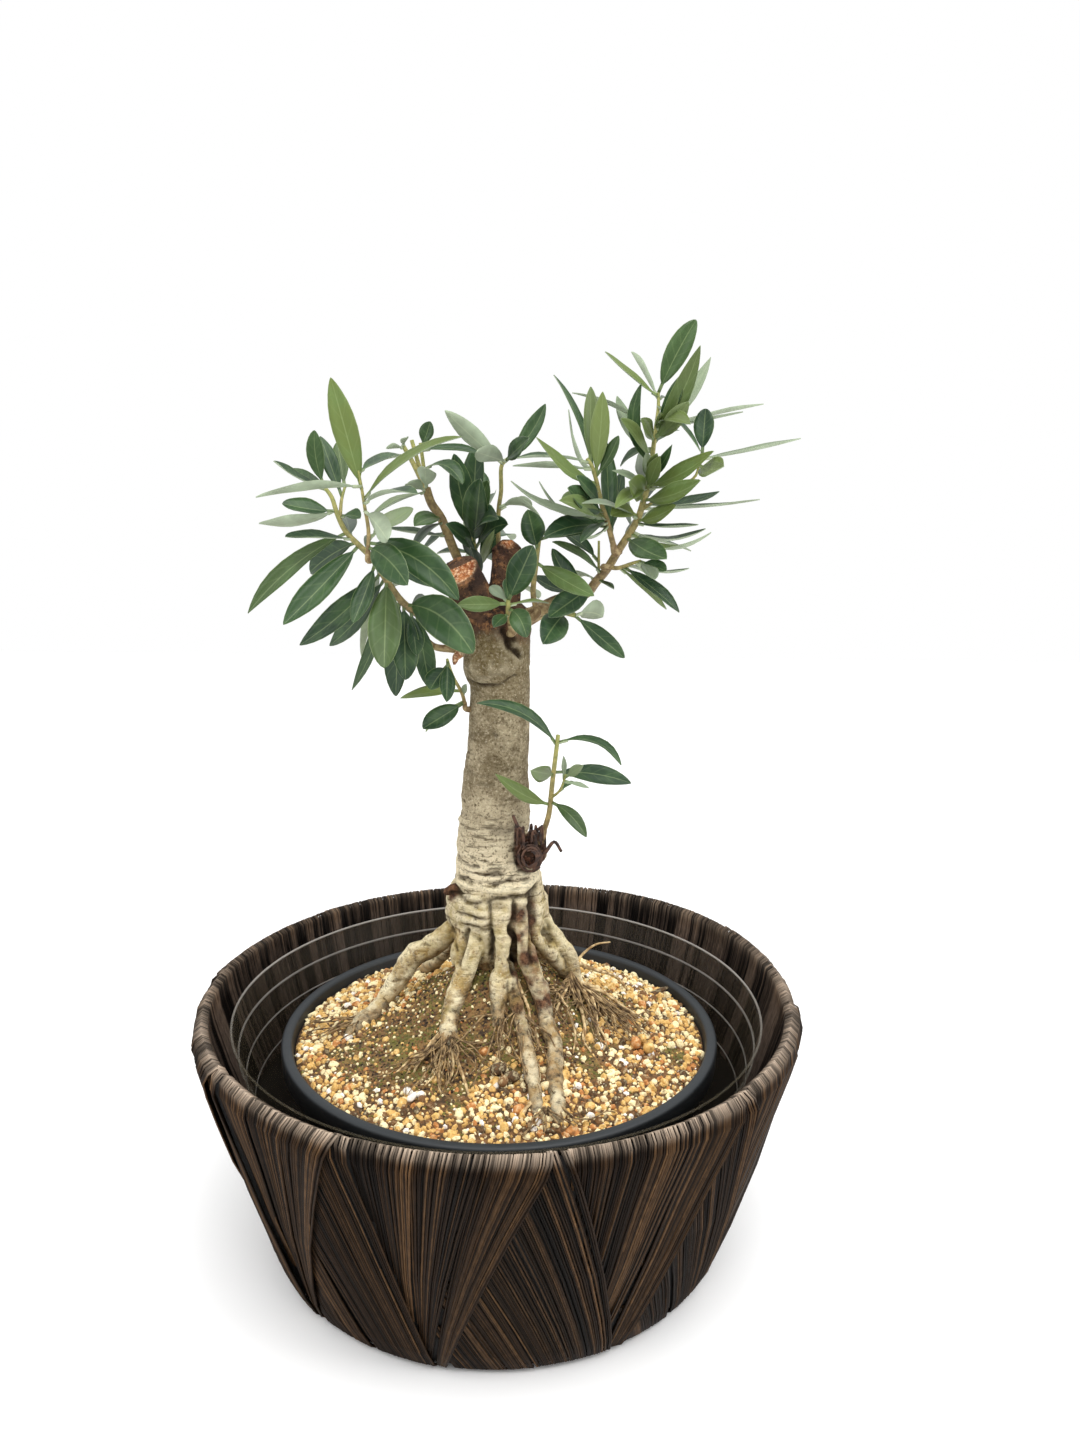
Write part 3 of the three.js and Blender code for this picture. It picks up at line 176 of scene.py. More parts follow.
# Leafy shoots: the collar that each grows from, its stems and its leaves. A stem is the radius at each
# end and its points. A leaf is its stem, its place on it counted in points, its tip's x, y and z, its
# width, its turn in degrees from facing the front to facing up, its arch, and its tone from 0 to 3.
SPRAYS = {
    "left_spray": {
        "collar": (-8, -2, 250),
        "stems": [(1.5, 0.7, [(-27, -6, 259), (-32, -8, 262), (-37, -10, 267), (-42, -12, 275),
                (-46, -14, 282), (-51, -14, 287), (-56, -13, 292), (-59, -12, 298), (-61, -11, 304),
                (-64, -10, 308)]),
            (0.7, 0.5, [(-58, -12, 297), (-58, -8, 303), (-57, -5, 308)])],
        "leaves": [(0, 8.9, -67, -9, 328, 6.4, 10, -0.07, 1), (1, 1.2, -67, 2, 326, 6.4, 25, 0, 0),
            (1, 1.9, -62, 10, 324, 6, 20, 0, 1), (0, 8.8, -82, -10, 317, 7, 80, -0.06, 0),
            (0, 8.7, -80, 8, 314, 6, 60, 0, 1), (0, 7.2, -78, -17, 302, 8, 50, -0.03, 0),
            (0, 7.3, -90, -3, 294, 8, 125, -0.08, 3), (0, 5.5, -75, -28, 291, 8, 75, 0, 0),
            (0, 5.9, -92, -18, 262, 8.5, 35, 0.06, 1), (0, 5, -76, -32, 260, 10.2, 20, -0.01, 1),
            (0, 5.2, -73, 5, 275, 10, 30, 0.04, 0), (0, 3.8, -52, -26, 260, 7.4, 10, -0.02, 1),
            (0, 3.3, -75, -10, 249, 9.5, 22, -0.04, 0), (0, 3, -67, 8, 246, 9.5, 35, -0.05, 0),
            (0, 2.9, -40, -34, 245, 12.4, 5, 0, 1), (0, 1.7, -34, -20, 238, 10.5, 20, 0, 0),
            (0, 2, -40, -2, 228, 10.5, 20, 0, 0), (0, 2.6, -58, 4, 229, 6.5, 35, -0.05, 1),
            (0, 2.8, -56, 18, 240, 8, 110, 0.05, 3), (1, 0, -50, -16, 297, 6, 60, 0.1, 1),
            (0, 1.5, -8, -36, 251, 15, 12, 0.12, 1), (0, 0.8, -26, -10, 233, 8, 20, 0, 0),
            (0, 1.2, -30, -18, 247, 7, 30, 0, 0), (0, 4.2, -22, -8, 271, 8, 40, 0.03, 0),
            (0, 3.4, -50, 26, 262, 9, 80, 0.08, 0), (0, 2.5, -40, 32, 268, 8, 90, 0.08, 1),
            (0, 4.6, -46, 30, 288, 8, 80, 0.08, 1), (0, 5.6, -64, 28, 296, 8, 80, 0.05, 0),
            (0, 1.3, -28, 26, 256, 8, 80, 0.08, 0)],
    },
    "left_upright_spray": {
        "collar": (-46, -14, 282),
        "stems": [(0.8, 0.45, [(-47, -19, 285), (-47, -17, 293), (-48, -18, 301), (-49, -18, 308),
                (-50, -18, 314)])],
        "leaves": [(0, 2.9, -59, -18, 346, 9.2, 10, 0, 2), (0, 3.1, -83, -36, 305, 8, 110, 0.02, 3),
            (0, 2.4, -12, -32, 326, 8, 66, 0.08, 2), (0, 2.2, -26, -46, 307, 8, 88, 0.06, 0),
            (0, 3.9, -36, 8, 319, 8, 66, 0.05, 1), (0, 0.2, -30, -44, 276, 11, 8, 0.07, 1),
            (0, 0.4, -13, -36, 270, 11.5, 15, 0.11, 1), (0, 0.6, -33, 2, 300, 8, 40, 0, 3),
            (0, 1.8, -37, -40, 291, 8.5, 165, 0.03, 3)],
    },
    "mid_left_spray": {
        "collar": (-7, 6, 257),
        "stems": [(2.0, 1.8, [(-12, 13, 269), (-15, 14, 276), (-19, 15, 285), (-23, 16, 295),
                (-27, 16, 301), (-29, 16, 307)]),
            (1.1, 0.9, [(-29, 16, 306), (-34, 18, 316), (-38, 18, 323)]),
            (1.0, 0.8, [(-29, 16, 307), (-32, 20, 315), (-35, 22, 325)]),
            (0.8, 0.7, [(-29, 16, 307), (-30, 17, 315), (-31, 16, 324)])],
        "leaves": [(3, 1.8, -27, 14, 332, 6, 15, -0.03, 1), (1, 1.9, -44, 14, 322, 4, 120, 0, 3),
            (1, 2, -36, 12, 326, 3.5, 120, 0, 3), (3, 1.7, -8, 24, 320, 6, 60, 0.05, 1),
            (3, 0.9, -14, 4, 309, 7, 60, 0.2, 1), (2, 0, -27, -6, 315, 7.5, 180, 0, 3),
            (1, 0, -35, 4, 309, 6, 150, 0, 3), (0, 3.1, -31, -10, 294, 7.5, 45, 0.04, 1),
            (0, 2.4, -42, 6, 292, 7, 80, -0.03, 0), (0, 2.9, -31, -10, 286, 7, 60, 0.05, 0),
            (0, 2.6, -32, 28, 282, 5, 60, 0, 0), (0, 4.8, -48, 0, 297, 7, 75, 0.04, 3)],
    },
    "centre_spray": {
        "collar": (-4, 8, 256),
        "stems": [(1.3, 0.8, [(-7, 20, 265), (-9, 22, 275), (-11, 24, 285), (-12, 25, 292)])],
        "leaves": [(0, 2.8, -10, 28, 324, 10, 25, 0, 0), (0, 2, -7, -2, 311, 11.5, 20, 0, 0),
            (0, 1.8, 3, 6, 294, 9, 50, 0.1, 0), (0, 2.4, 0, -12, 297, 9, 60, 0.1, 0),
            (0, 2.6, -18, 14, 320, 10, 30, -0.05, 0), (0, 3, -20, 36, 317, 8, 40, 0, 0),
            (0, 2.7, -5, 14, 310, 8, 15, 0, 1), (0, 1, -2, 2, 292, 4, 20, 0, 2),
            (0, 1.4, -15, 8, 289, 5, 30, 0, 0), (0, 1.2, -1, 24, 290, 8, 30, 0, 0),
            (0, 0.6, -11, 4, 285, 6, 30, 0, 0), (0, 1.6, -26, 26, 281, 6, 80, 0.05, 0),
            (0, 1.9, -19, -14, 295, 8, 55, 0, 0)],
    },
    "centre_tall_spray": {
        "collar": (0, 7, 257),
        "stems": [(1.0, 0.8, [(0, 16, 270), (-1, 18, 283), (-1, 19, 298), (0, 19, 306), (0, 19, 315),
                (2, 19, 318)])],
        "leaves": [(0, 4.4, -21, 10, 336, 7.4, 165, -0.01, 3), (0, 4.8, -8, -12, 321, 8, 160, 0, 3),
            (0, 4.7, 17, 16, 339, 7, 25, -0.07, 1), (0, 4.9, 11, -8, 326, 7, 30, 0, 1),
            (0, 2.2, 16, 2, 296, 6, 120, 0.15, 3), (0, 2.1, 12, 28, 300, 6, 120, 0.12, 3)],
    },
    "front_sprig": {
        "collar": (4, -7, 254),
        "stems": [(1.2, 0.8, [(5, -14, 258), (4, -17, 263), (4, -18, 268)])],
        "leaves": [(0, 1.7, -14, -26, 267, 6, 20, 0, 1), (0, 1.9, 13, -32, 289, 10.5, 10, 0, 0),
            (0, 1.8, -3, -10, 272, 4.5, 30, 0, 3), (0, 1.3, 11, -30, 256, 8, 10, 0.15, 1),
            (0, 0.9, -1, -26, 259, 5, 30, 0.05, 1), (0, 1.6, 19, -10, 266, 3.5, 80, 0.05, 2),
            (0, 1.5, 3, -12, 275, 5, 40, 0, 0)],
    },
    "front_twig_spray": {
        "collar": (9, -3, 257),
        "stems": [(1.1, 0.8, [(14, -6, 264), (13, -7, 270), (14, -9, 280), (15, -10, 289),
                (16, -11, 294)])],
        "leaves": [(0, 2.6, 11, -24, 301, 9, 10, 0, 0), (0, 2.1, 35, -28, 271, 8, 25, -0.02, 1),
            (0, 3.1, 40, 1, 296, 7.5, 35, 0, 0)],
    },
    "right_low_spray": {
        "collar": (8, -1, 260),
        "stems": [(1.4, 1.0, [(19, -3, 262), (24, -5, 262), (29, -7, 261)])],
        "leaves": [(0, 1.3, 17, -26, 253, 11, 10, 0.05, 0), (0, 2, 40, 4, 259, 9.5, 150, 0.1, 3),
            (0, 1.9, 48, -8, 245, 7, 30, 0, 0)],
    },
    "right_spray": {
        "collar": (8, 1, 257),
        "stems": [(2.0, 0.55, [(24, 4, 265), (33, 2, 268), (37, 0, 273), (41, -1, 278), (45, -2, 285),
                (48, -3, 290), (52, -3, 297), (54, -3, 304), (56, -2, 311), (57, 0, 320), (58, 2, 329),
                (59, 4, 337), (59, 5, 343)]),
            (0.6, 0.45, [(53, -3, 300), (62, -8, 307), (71, -11, 312), (73, -12, 317), (74, -13, 321)]),
            (0.6, 0.45, [(38, 0, 274), (38, 4, 281), (38, 6, 288)])],
        "leaves": [(0, 12, 72, 5, 369, 9, 15, 0.02, 1), (0, 11.8, 38, -14, 356, 5.5, 62, -0.03, 2),
            (0, 11.7, 50, 24, 359, 6, 105, 0, 3), (0, 8.6, 52, -3, 346, 5.5, 20, -0.19, 1),
            (0, 9.7, 71, -18, 358, 7.5, 20, -0.06, 2), (0, 9.9, 80, 20, 357, 6, 25, -0.06, 3),
            (0, 9.8, 69, 6, 351, 7, 40, -0.1, 1), (1, 3.8, 75, -8, 337, 7.5, 15, 0, 0),
            (0, 10.1, 88, -12, 336, 5, 85, -0.01, 3), (0, 10.2, 101, 20, 340, 5, 100, 0, 3),
            (0, 7.7, 76, -26, 322, 7.5, 45, -0.05, 2), (1, 3, 78, -38, 317, 9, 40, -0.05, 2),
            (1, 3.6, 111, -4, 327, 6, 82, -0.02, 3), (0, 7, 71, -32, 312, 8, 40, -0.05, 2),
            (0, 6.8, 84, 10, 307, 7, 70, -0.08, 0), (0, 6.6, 96, -10, 305, 5.5, 90, -0.03, 1),
            (0, 5.8, 73, -16, 296, 5, 80, -0.05, 0), (0, 5.4, 79, 8, 293, 6.5, 85, -0.13, 1),
            (0, 5.3, 76, -28, 294, 7, 84, -0.17, 2), (0, 5.1, 76, 26, 283, 6, 85, 0.02, 1),
            (0, 5, 60, -34, 285, 9.5, 30, -0.03, 1), (0, 6.9, 47, -22, 311, 9.5, 30, 0.05, 2),
            (0, 6.1, 41, -18, 299, 7, 40, 0.1, 2), (0, 7.8, 41, -24, 315, 4, 50, 0, 3),
            (0, 8.7, 44, -14, 333, 6.5, 50, 0.05, 2), (0, 9.1, 44, 12, 342, 6.5, 25, -0.1, 3),
            (0, 10, 27, 10, 343, 5, 95, 0.05, 0), (0, 9.3, 46, 14, 316, 5, 60, 0.1, 0),
            (0, 9.6, 51, -18, 333, 6, 30, 0, 2), (0, 10.3, 57, -24, 335, 4, 15, 0, 2),
            (0, 8, 57, -18, 321, 5, 20, 0, 2), (0, 7.9, 54, -8, 321, 5, 20, 0, 3),
            (0, 10.4, 67, -30, 331, 6.5, 50, 0.05, 2), (0, 11.6, 68, 26, 338, 4.5, 100, 0.1, 1),
            (0, 6, 30, -35, 304, 5, 80, 0.05, 3), (2, 0.9, 24, 10, 291, 7, 50, 0.05, 0),
            (0, 1.4, 20, -8, 286, 7.5, 30, -0.12, 0), (0, 1.7, 19, -20, 262, 9.5, 25, 0, 0),
            (0, 1.2, 13, 8, 274, 8, 60, -0.1, 0), (0, 2.1, 28, 12, 273, 5, 120, 0.1, 3),
            (2, 0, 43, -14, 272, 3, 60, 0, 0), (0, 5.4, 50, 36, 306, 8, 80, 0.08, 1),
            (0, 6.5, 68, 40, 311, 8, 75, 0.08, 0), (0, 7.6, 56, 46, 322, 7.5, 60, 0.05, 1),
            (0, 8.4, 47, 34, 333, 6.5, 40, 0.05, 0), (0, 9.5, 70, 32, 330, 6.5, 50, 0.05, 1),
            (0, 4.5, 64, 34, 298, 8, 90, 0.08, 0), (0, 5.9, 64, -22, 303, 6.5, 40, -0.05, 2),
            (0, 7.6, 42, -26, 302, 6, 40, 0.05, 2), (0, 7.5, 58, -18, 320, 5.5, 20, 0, 2),
            (0, 11.2, 72, -22, 322, 3.5, 60, 0.05, 1), (0, 7.6, 73, -14, 312, 3.5, 80, -0.03, 2),
            (0, 8.2, 62, -20, 324, 4, 30, -0.08, 1), (0, 10.1, 66, -12, 349, 6, 20, -0.06, 1),
            (0, 9.7, 68, -16, 339, 7, 25, -0.05, 2), (0, 2.6, 20, -14, 289, 5.5, 60, 0.05, 1)],
    },
    "right_inner_spray": {
        "collar": (45, -2, 285),
        "stems": [(1.1, 0.6, [(43, -5, 287), (40, -9, 297), (38, -12, 302), (36, -14, 310),
                (34, -16, 316), (32, -16, 319)])],
        "leaves": [(0, 4.4, 33, -14, 344, 6.5, 20, 0, 2), (0, 3.4, 37, -20, 342, 7, 15, -0.04, 2),
            (0, 3.6, 20, 4, 349, 6, 60, 0.06, 1), (0, 4, 26, 16, 337, 5, 95, -0.2, 0),
            (0, 4.6, 7, -24, 319, 6.5, 85, 0.04, 0), (0, 3.9, 5, 2, 316, 5.5, 112, 0, 1),
            (0, 3, 14, -38, 326, 6.5, 50, -0.08, 2), (0, 2.1, 28, -30, 313, 6, 40, 0, 0),
            (0, 1.6, 25, -32, 309, 9, 40, -0.05, 0), (0, 1, 22, -40, 305, 7, 45, 0.03, 2),
            (0, 1.2, 17, -4, 304, 7, 90, -0.1, 0), (0, 1.4, 15, 14, 310, 5, 100, -0.2, 1),
            (0, 1.5, 5, -22, 311, 6.5, 70, -0.13, 3), (0, 0.5, 40, 10, 326, 7, 25, 0, 0),
            (0, 0.4, 47, 14, 315, 6, 30, 0, 0), (0, 0.8, 31, -22, 291, 4, 90, -0.1, 0),
            (0, 0.7, 17, -20, 291, 8.5, 40, 0.09, 0), (0, 0.9, 30, -28, 290, 5, 60, 0.05, 0),
            (0, 3.4, 43, -20, 327, 5, 30, -0.05, 1), (0, 2.7, 23, -26, 305, 4.5, 70, 0.05, 2)],
    },
    "right_under_spray": {
        "collar": (41, -1, 278),
        "stems": [(0.9, 0.5, [(42, -5, 279), (45, -7, 279), (50, -9, 281), (53, -10, 282)])],
        "leaves": [(0, 1.3, 67, -18, 264, 6.5, 45, 0.03, 0), (0, 1.1, 64, -2, 263, 5.5, 60, 0, 2),
            (0, 1.4, 60, 12, 273, 6, 100, 0.05, 1), (0, 2.4, 73, 6, 278, 4.5, 95, -0.1, 1),
            (0, 2.9, 57, -26, 277, 6, 40, 0, 3), (0, 2.8, 62, -16, 279, 6, 40, 0, 1)],
    },
    "low_left_sprig": {
        "collar": (-8, -3, 224),
        "stems": [(0.8, 0.5, [(-13, -5, 226), (-14, -8, 231), (-17, -12, 238), (-19, -14, 245)])],
        "leaves": [(0, 0.1, -28, -18, 219, 8.5, 30, 0, 0), (0, 0.2, -29, 2, 213, 5, 60, 0.05, 2),
            (0, 2.9, -18, -30, 232, 6, 15, 0, 0), (0, 2.7, -25, -18, 234, 8, 25, 0.05, 0),
            (0, 1.1, -39, 4, 226, 5.5, 50, 0.03, 2), (0, 0.7, -12, -12, 235, 2.5, 20, 0, 3)],
    },
    "sucker_shoot": {
        "collar": (15, -10, 170),
        "stems": [(1.1, 0.8, [(18, -12, 177), (20, -14, 185), (21, -16, 197), (22, -17, 207),
                (23, -18, 217)]),
            (0.6, 0.4, [(20, -15, 191), (24, -20, 196), (26, -23, 203)])],
        "leaves": [(0, 3.6, -7, -32, 232, 6, 50, 0.12, 0), (0, 3.7, 47, -20, 206, 6, 70, 0.2, 1),
            (0, 2.5, 52, -6, 195, 7.5, 25, 0.05, 0), (0, 2.4, 13, -40, 209, 7, 20, 0, 2),
            (0, 1.4, 34, -28, 180, 5.5, 25, 0.1, 1), (0, 1.3, 0, -34, 206, 5.5, 35, -0.05, 2),
            (1, 1.6, 35, -20, 197, 2.5, 60, 0, 3), (1, 1, 29, -14, 198, 2.5, 60, 0, 0),
            (1, 1.8, 32, -32, 209, 4, 35, 0, 3), (1, 1.7, 25, -26, 211, 2.2, 20, 0, 3)],
    },
    "back_spray": {
        "collar": (1, 7, 255),
        "stems": [(1.3, 0.8, [(2, 17, 262), (1, 24, 270), (-2, 31, 280), (-6, 36, 292), (-9, 38, 300)])],
        "leaves": [(0, 0.6, -15, 34, 262, 9, 100, 0.1, 0), (0, 0.8, 15, 36, 262, 9, 100, 0.1, 1),
            (0, 1.6, -15, 52, 276, 9, 90, 0.1, 0), (0, 1.7, 12, 48, 276, 9, 80, 0.1, 0),
            (0, 2.4, -17, 58, 290, 8, 80, 0.1, 1), (0, 2.5, 3, 61, 284, 9, 80, 0.1, 0),
            (0, 3.3, -20, 48, 306, 8, 60, 0.05, 0), (0, 3.4, -4, 54, 304, 8, 60, 0.05, 0),
            (0, 3.9, -10, 50, 314, 8, 45, 0, 1), (0, 4, -14, 36, 318, 7, 20, 0, 0)],
    },
}


# ---- Settings ----------------------------------------------------------------------------------

def colour_setting(name, hex_colour, description):
    """A colour property that starts at an sRGB hex colour."""
    return bpy.props.FloatVectorProperty(
        name=name, description=description, subtype="COLOR", size=3, min=0, max=1,
        default=linear(hex_colour))


def length_setting(name, millimetres, description):
    """A length property, held in metres."""
    return bpy.props.FloatProperty(
        name=name, description=description, unit="LENGTH", default=millimetres * MM, min=0)


class BonsaiPotSettings(bpy.types.PropertyGroup):
    """Sizes and colours of the cachepot, the liner and the nursery pot."""

    strands: bpy.props.IntProperty(
        name="Strands a band", description="Strands in each band of the cachepot", default=104, min=4)
    strand_radius: length_setting("Strand radius", 0.42, "Half the thickness of one wrapped strand")
    strand_dark: colour_setting("Strand, dark", "#0d0805", "The darkest dyed strands")
    strand_mid: colour_setting("Strand, mid", "#291c11", "Most of the dyed strands")
    strand_light: colour_setting("Strand, light", "#644a31", "Strands with a bronze sheen")
    # Colour of the painted highlight along the top of the rim, strongest at the front.
    rim_sheen: colour_setting("Rim sheen", "#c6b39f", "Strands worn pale where they bend over the rim")
    # Painted nearly black as the shade in the gaps between strands.
    backing: colour_setting("Backing", "#070504", "The shell that shows dark between the strands")
    plastic: colour_setting("Pot plastic", "#101315", "The nursery pot's wall")
    # The lip's paler colour is partly scuffs and partly a painted highlight.
    plastic_lip: colour_setting("Pot lip", "#1c2226", "The nursery pot's scuffed flat lip")
    # Painted on the far side of the liner's edges as a painted reflection.
    liner: colour_setting("Liner", "#a39e98", "The clear liner's tint")


class BonsaiSoilSettings(bpy.types.PropertyGroup):
    """Sizes and colours of the grit, the earth and the moss."""

    grain: length_setting("Grain", 3.0, "Usual diameter of a coarse grain")
    fine_grain: length_setting("Fine grain", 1.5, "Usual diameter of a fine grain")
    ochre: colour_setting("Ochre", "#d6ac63", "Yellow grains")
    cream: colour_setting("Cream", "#f4e4b4", "Pale grains")
    brown: colour_setting("Brown", "#785532", "Brown grains")
    orange: colour_setting("Orange", "#bd7d42", "Orange grains")
    white: colour_setting("White", "#f6f2ea", "White grains")
    # Also the earth under the grit, kept dark partly as painted shade between the grains.
    earth: colour_setting("Earth", "#493520", "Damp earth between the roots")
    moss: colour_setting("Moss", "#66652c", "Moss on the mound")


class BonsaiTreeSettings(bpy.types.PropertyGroup):
    """Sizes and colours of the trunk and roots."""

    detail: length_setting("Bark detail", 0.68, "Spacing of the bark mesh")
    bark: colour_setting("Bark", "#a3967a", "Grey-tan bark")
    bark_dark: colour_setting("Bark, dark", "#4f412b", "Bark in the shade of fissures")
    root: colour_setting("Root", "#f9ecc4", "Bare roots")
    callus: colour_setting("Callus", "#5d4433", "Reddish healing bark under the crown")
    cut: colour_setting("Cut wood", "#bd7b4c", "The weathered face of a pruned limb")
    burr: colour_setting("Burr", "#51301f", "The dry dark burr on the trunk")


class BonsaiFoliageSettings(bpy.types.PropertyGroup):
    """Sizes and colours of the leaves and stems."""

    thickness: length_setting("Leaf thickness", 0.35, "Thickness of a blade")
    dark: colour_setting("Leaf, dark", "#203a20", "Upper face of an old leaf")
    mid: colour_setting("Leaf, mid", "#2b4623", "Upper face of most leaves")
    olive: colour_setting("Leaf, olive", "#748440", "Upper face of a young leaf")
    pale: colour_setting("Leaf, pale", "#86927b", "A leaf that shows its underside")
    underside: colour_setting("Underside", "#8d9881", "Downy grey-green underside")
    rib: colour_setting("Rib", "#93a36f", "Midrib and margin")
    stem_old: colour_setting("Stem, woody", "#978254", "Woody part of a stem")
    stem_young: colour_setting("Stem, young", "#a3a05c", "Growing tip of a stem")


class BonsaiStageSettings(bpy.types.PropertyGroup):
    """Camera, floor and light."""

    lens: bpy.props.FloatProperty(
        name="Lens", description="Focal length on a 36 mm high frame", default=29.53, min=1)
    floor: colour_setting("Floor", "#ffffff", "Plain pale floor")
    key_power: bpy.props.FloatProperty(
        name="Key light", description="Power of the overhead soft light in watts", default=12, min=0)
    sky: bpy.props.FloatProperty(
        name="Sky", description="Strength of the even white surround", default=1.0, min=0)


# ---- Small tools -------------------------------------------------------------------------------

# Whole numbers that turn a corner of the noise's lattice and a seed into an even random value.
HASH_STEPS, HASH_SEED = np.array([73856093, 19349663, 83492791]), 2654435
HASH_MIX, HASH_MASK = 1274126177, 0xFFFFFF


def random_from(seed):
    return np.random.default_rng(seed)


def smooth_step(low, high, values):
    share = np.clip((np.asarray(values, float) - low) / (high - low), 0, 1)
    return share * share * (3 - 2 * share)


def smooth_path(rows, per_span):
    """Rows along a smooth curve through the given rows, per_span to each span."""
    rows = np.asarray(rows, float)
    padded = np.vstack([2 * rows[0] - rows[1], rows, 2 * rows[-1] - rows[-2]])
    shares = np.arange(per_span) / per_span
    curve = []
    for i in range(len(rows) - 1):
        a, b, c, d = padded[i:i + 4]
        for t in shares:
            bend = (2 * a - 5 * b + 4 * c - d) * t * t + (3 * b - a - 3 * c + d) * t ** 3
            curve.append(0.5 * (2 * b + (c - a) * t + bend))
    curve.append(rows[-1])
    return np.array(curve)


def lattice_noise(points, seed):
    """Smooth noise from 0 to 1 at each point, fixed by the seed."""
    cell = np.floor(points).astype(np.int64)
    share = points - cell
    share = share * share * (3 - 2 * share)
    total = np.zeros(len(points))
    for corner in np.ndindex(2, 2, 2):
        key = (cell + corner) @ HASH_STEPS + seed * HASH_SEED
        key = (key ^ (key >> 13)) * HASH_MIX
        key = (key ^ (key >> 16)) & HASH_MASK
        total += np.prod(np.where(corner, share, 1 - share), axis=1) * key / HASH_MASK
    return total


def rough(points, size, seed, octaves=3):
    """Layered noise from -1 to 1, with its largest lumps of the given size."""
    size = np.asarray(size, float)
    total = sum(0.5 ** k * lattice_noise(points / size * 2 ** k, seed + k) for k in range(octaves))
    return 2 * total / (2 - 0.5 ** (octaves - 1)) - 1


def ridges(points, size, seed):
    """Sharp crests from 0 to 1, with smooth valleys between them."""
    return 1 - np.abs(rough(points, size, seed, 2))


def standing_out(mesh, points, normals, rounds):
    """How far each vertex stands out from the smoothed shape around it, below 0 where it is sunk."""
    edges = np.empty(len(mesh.edges) * 2, int)
    mesh.edges.foreach_get("vertices", edges)
    ends, others = edges.reshape(-1, 2), edges.reshape(-1, 2)[:, ::-1]
    near, far = np.concatenate([ends[:, 0], ends[:, 1]]), np.concatenate([others[:, 0], others[:, 1]])
    count = np.bincount(near, minlength=len(points))
    eased = points.copy()
    for _ in range(rounds):
        totals = [np.bincount(near, eased[far, axis], len(points)) for axis in range(3)]
        eased = np.column_stack(totals) / count[:, None]
    return np.sum((points - eased) * normals, axis=1)


def line_distance(points, start, end):
    """How far each point lies from a straight line between two places."""
    along = end - start
    share = np.clip((points - start) @ along / (along @ along), 0, 1)
    return np.linalg.norm(points - start - share[:, None] * along, axis=1)


def groove(points, start, end, width, depth):
    """How deep a cut along a line goes at each point."""
    start, end = np.array((start, end), float)
    return depth * np.exp(-(line_distance(points, start, end) / width) ** 2)


def front_marks(points, marks):
    """How deep the marks on the plant's front go at each point, with wavering edges."""
    flat = points[:, [0, 2]] + 1.3 * np.column_stack([rough(points, 5, 71, 2), rough(points, 5, 72, 2)])
    total = np.zeros(len(points))
    for start, end, width, depth in marks:
        total = np.maximum(total, groove(flat, start, end, width, depth))
    total *= np.clip(0.75 + 0.9 * rough(points, 5, 73, 2), 0.15, 1.3)
    return total * smooth_step(-3, -7, points[:, 1])


def rgba(colour):
    """A hex string or a colour setting as four numbers, and a socket as it is."""
    if isinstance(colour, bpy.types.NodeSocket):
        return colour
    return (*(linear(colour) if isinstance(colour, str) else colour), 1)


def wired(tree, made, inputs):
    """Sets or links a node's inputs."""
    for key, value in inputs.items():
        if isinstance(value, bpy.types.NodeSocket):
            tree.links.new(value, made.inputs[key])
        else:
            made.inputs[key].default_value = value
    return made


def add_node(tree, kind, settings=None, inputs=None):
    """Adds a node, sets its properties, and sets or links its inputs."""
    made = tree.nodes.new(kind)
    for name, value in (settings or {}).items():
        setattr(made, name, value)
    return wired(tree, made, inputs or {})


def new_material(name):
    material = bpy.data.materials.new(name)
    material.use_nodes = True
    return material, material.node_tree


def surfaced(material, inputs):
    """The material, once its surface has these inputs."""
    wired(material.node_tree, material.node_tree.nodes["Principled BSDF"], inputs)
    return material


def colour_ramp(tree, factor, stops, interpolation="LINEAR"):
    """A ramp through stops of a position and a colour, in the order of their positions."""
    ramp = add_node(tree, "ShaderNodeValToRGB", inputs={"Fac": factor})
    ramp.color_ramp.interpolation = interpolation
    elements = ramp.color_ramp.elements
    while len(elements) < len(stops):
        elements.new(0.5)
    for element, (position, colour) in zip(elements, stops):
        element.position = position
        element.color = rgba(colour)
    return ramp.outputs["Color"]


def mixed(tree, share, first, second):
    """The second colour laid over the first."""
    return add_node(tree, "ShaderNodeMix", {"data_type": "RGBA"},
        {0: share, 6: rgba(first), 7: rgba(second)}).outputs[2]


def noise_value(tree, vector, scale, detail=4.0, roughness=0.55):
    return add_node(tree, "ShaderNodeTexNoise", inputs={
        "Vector": vector, "Scale": scale, "Detail": detail, "Roughness": roughness}).outputs["Fac"]


def stretched(tree, x=1.0, y=1.0, z=1.0):
    """Object coordinates, squeezed along some axes."""
    place = add_node(tree, "ShaderNodeTexCoord").outputs["Object"]
    return add_node(tree, "ShaderNodeMapping", inputs={"Vector": place, "Scale": (x, y, z)}).outputs[0]


def coordinate(tree, axis):
    """How far along X, Y or Z a point lies, in metres."""
    return add_node(tree, "ShaderNodeSeparateXYZ", inputs={0: stretched(tree)}).outputs[axis]


def attribute(tree, name):
    return add_node(tree, "ShaderNodeAttribute", {"attribute_name": name}).outputs["Fac"]


def remapped(tree, value, from_low, from_high, to_low=0.0, to_high=1.0):
    return add_node(tree, "ShaderNodeMapRange", inputs={"Value": value, "From Min": from_low,
        "From Max": from_high, "To Min": to_low, "To Max": to_high}).outputs["Result"]


def where(tree, value, begins, full, most=1.0):
    """A share that grows from 0 where the value begins to count to the most where it counts in full."""
    return remapped(tree, value, begins, full, 0.0, most)


def layered(tree, colour, *layers):
    """Paints laid over a colour one by one.

    A layer is its colour and its share, or its colour, the value that says where it lies, where that
    value begins to count, where it counts in full, and the layer's share there if that isn't 1.
    """
    for paint, value, *limits in layers:
        colour = mixed(tree, where(tree, value, *limits) if limits else value, colour, paint)
    return colour


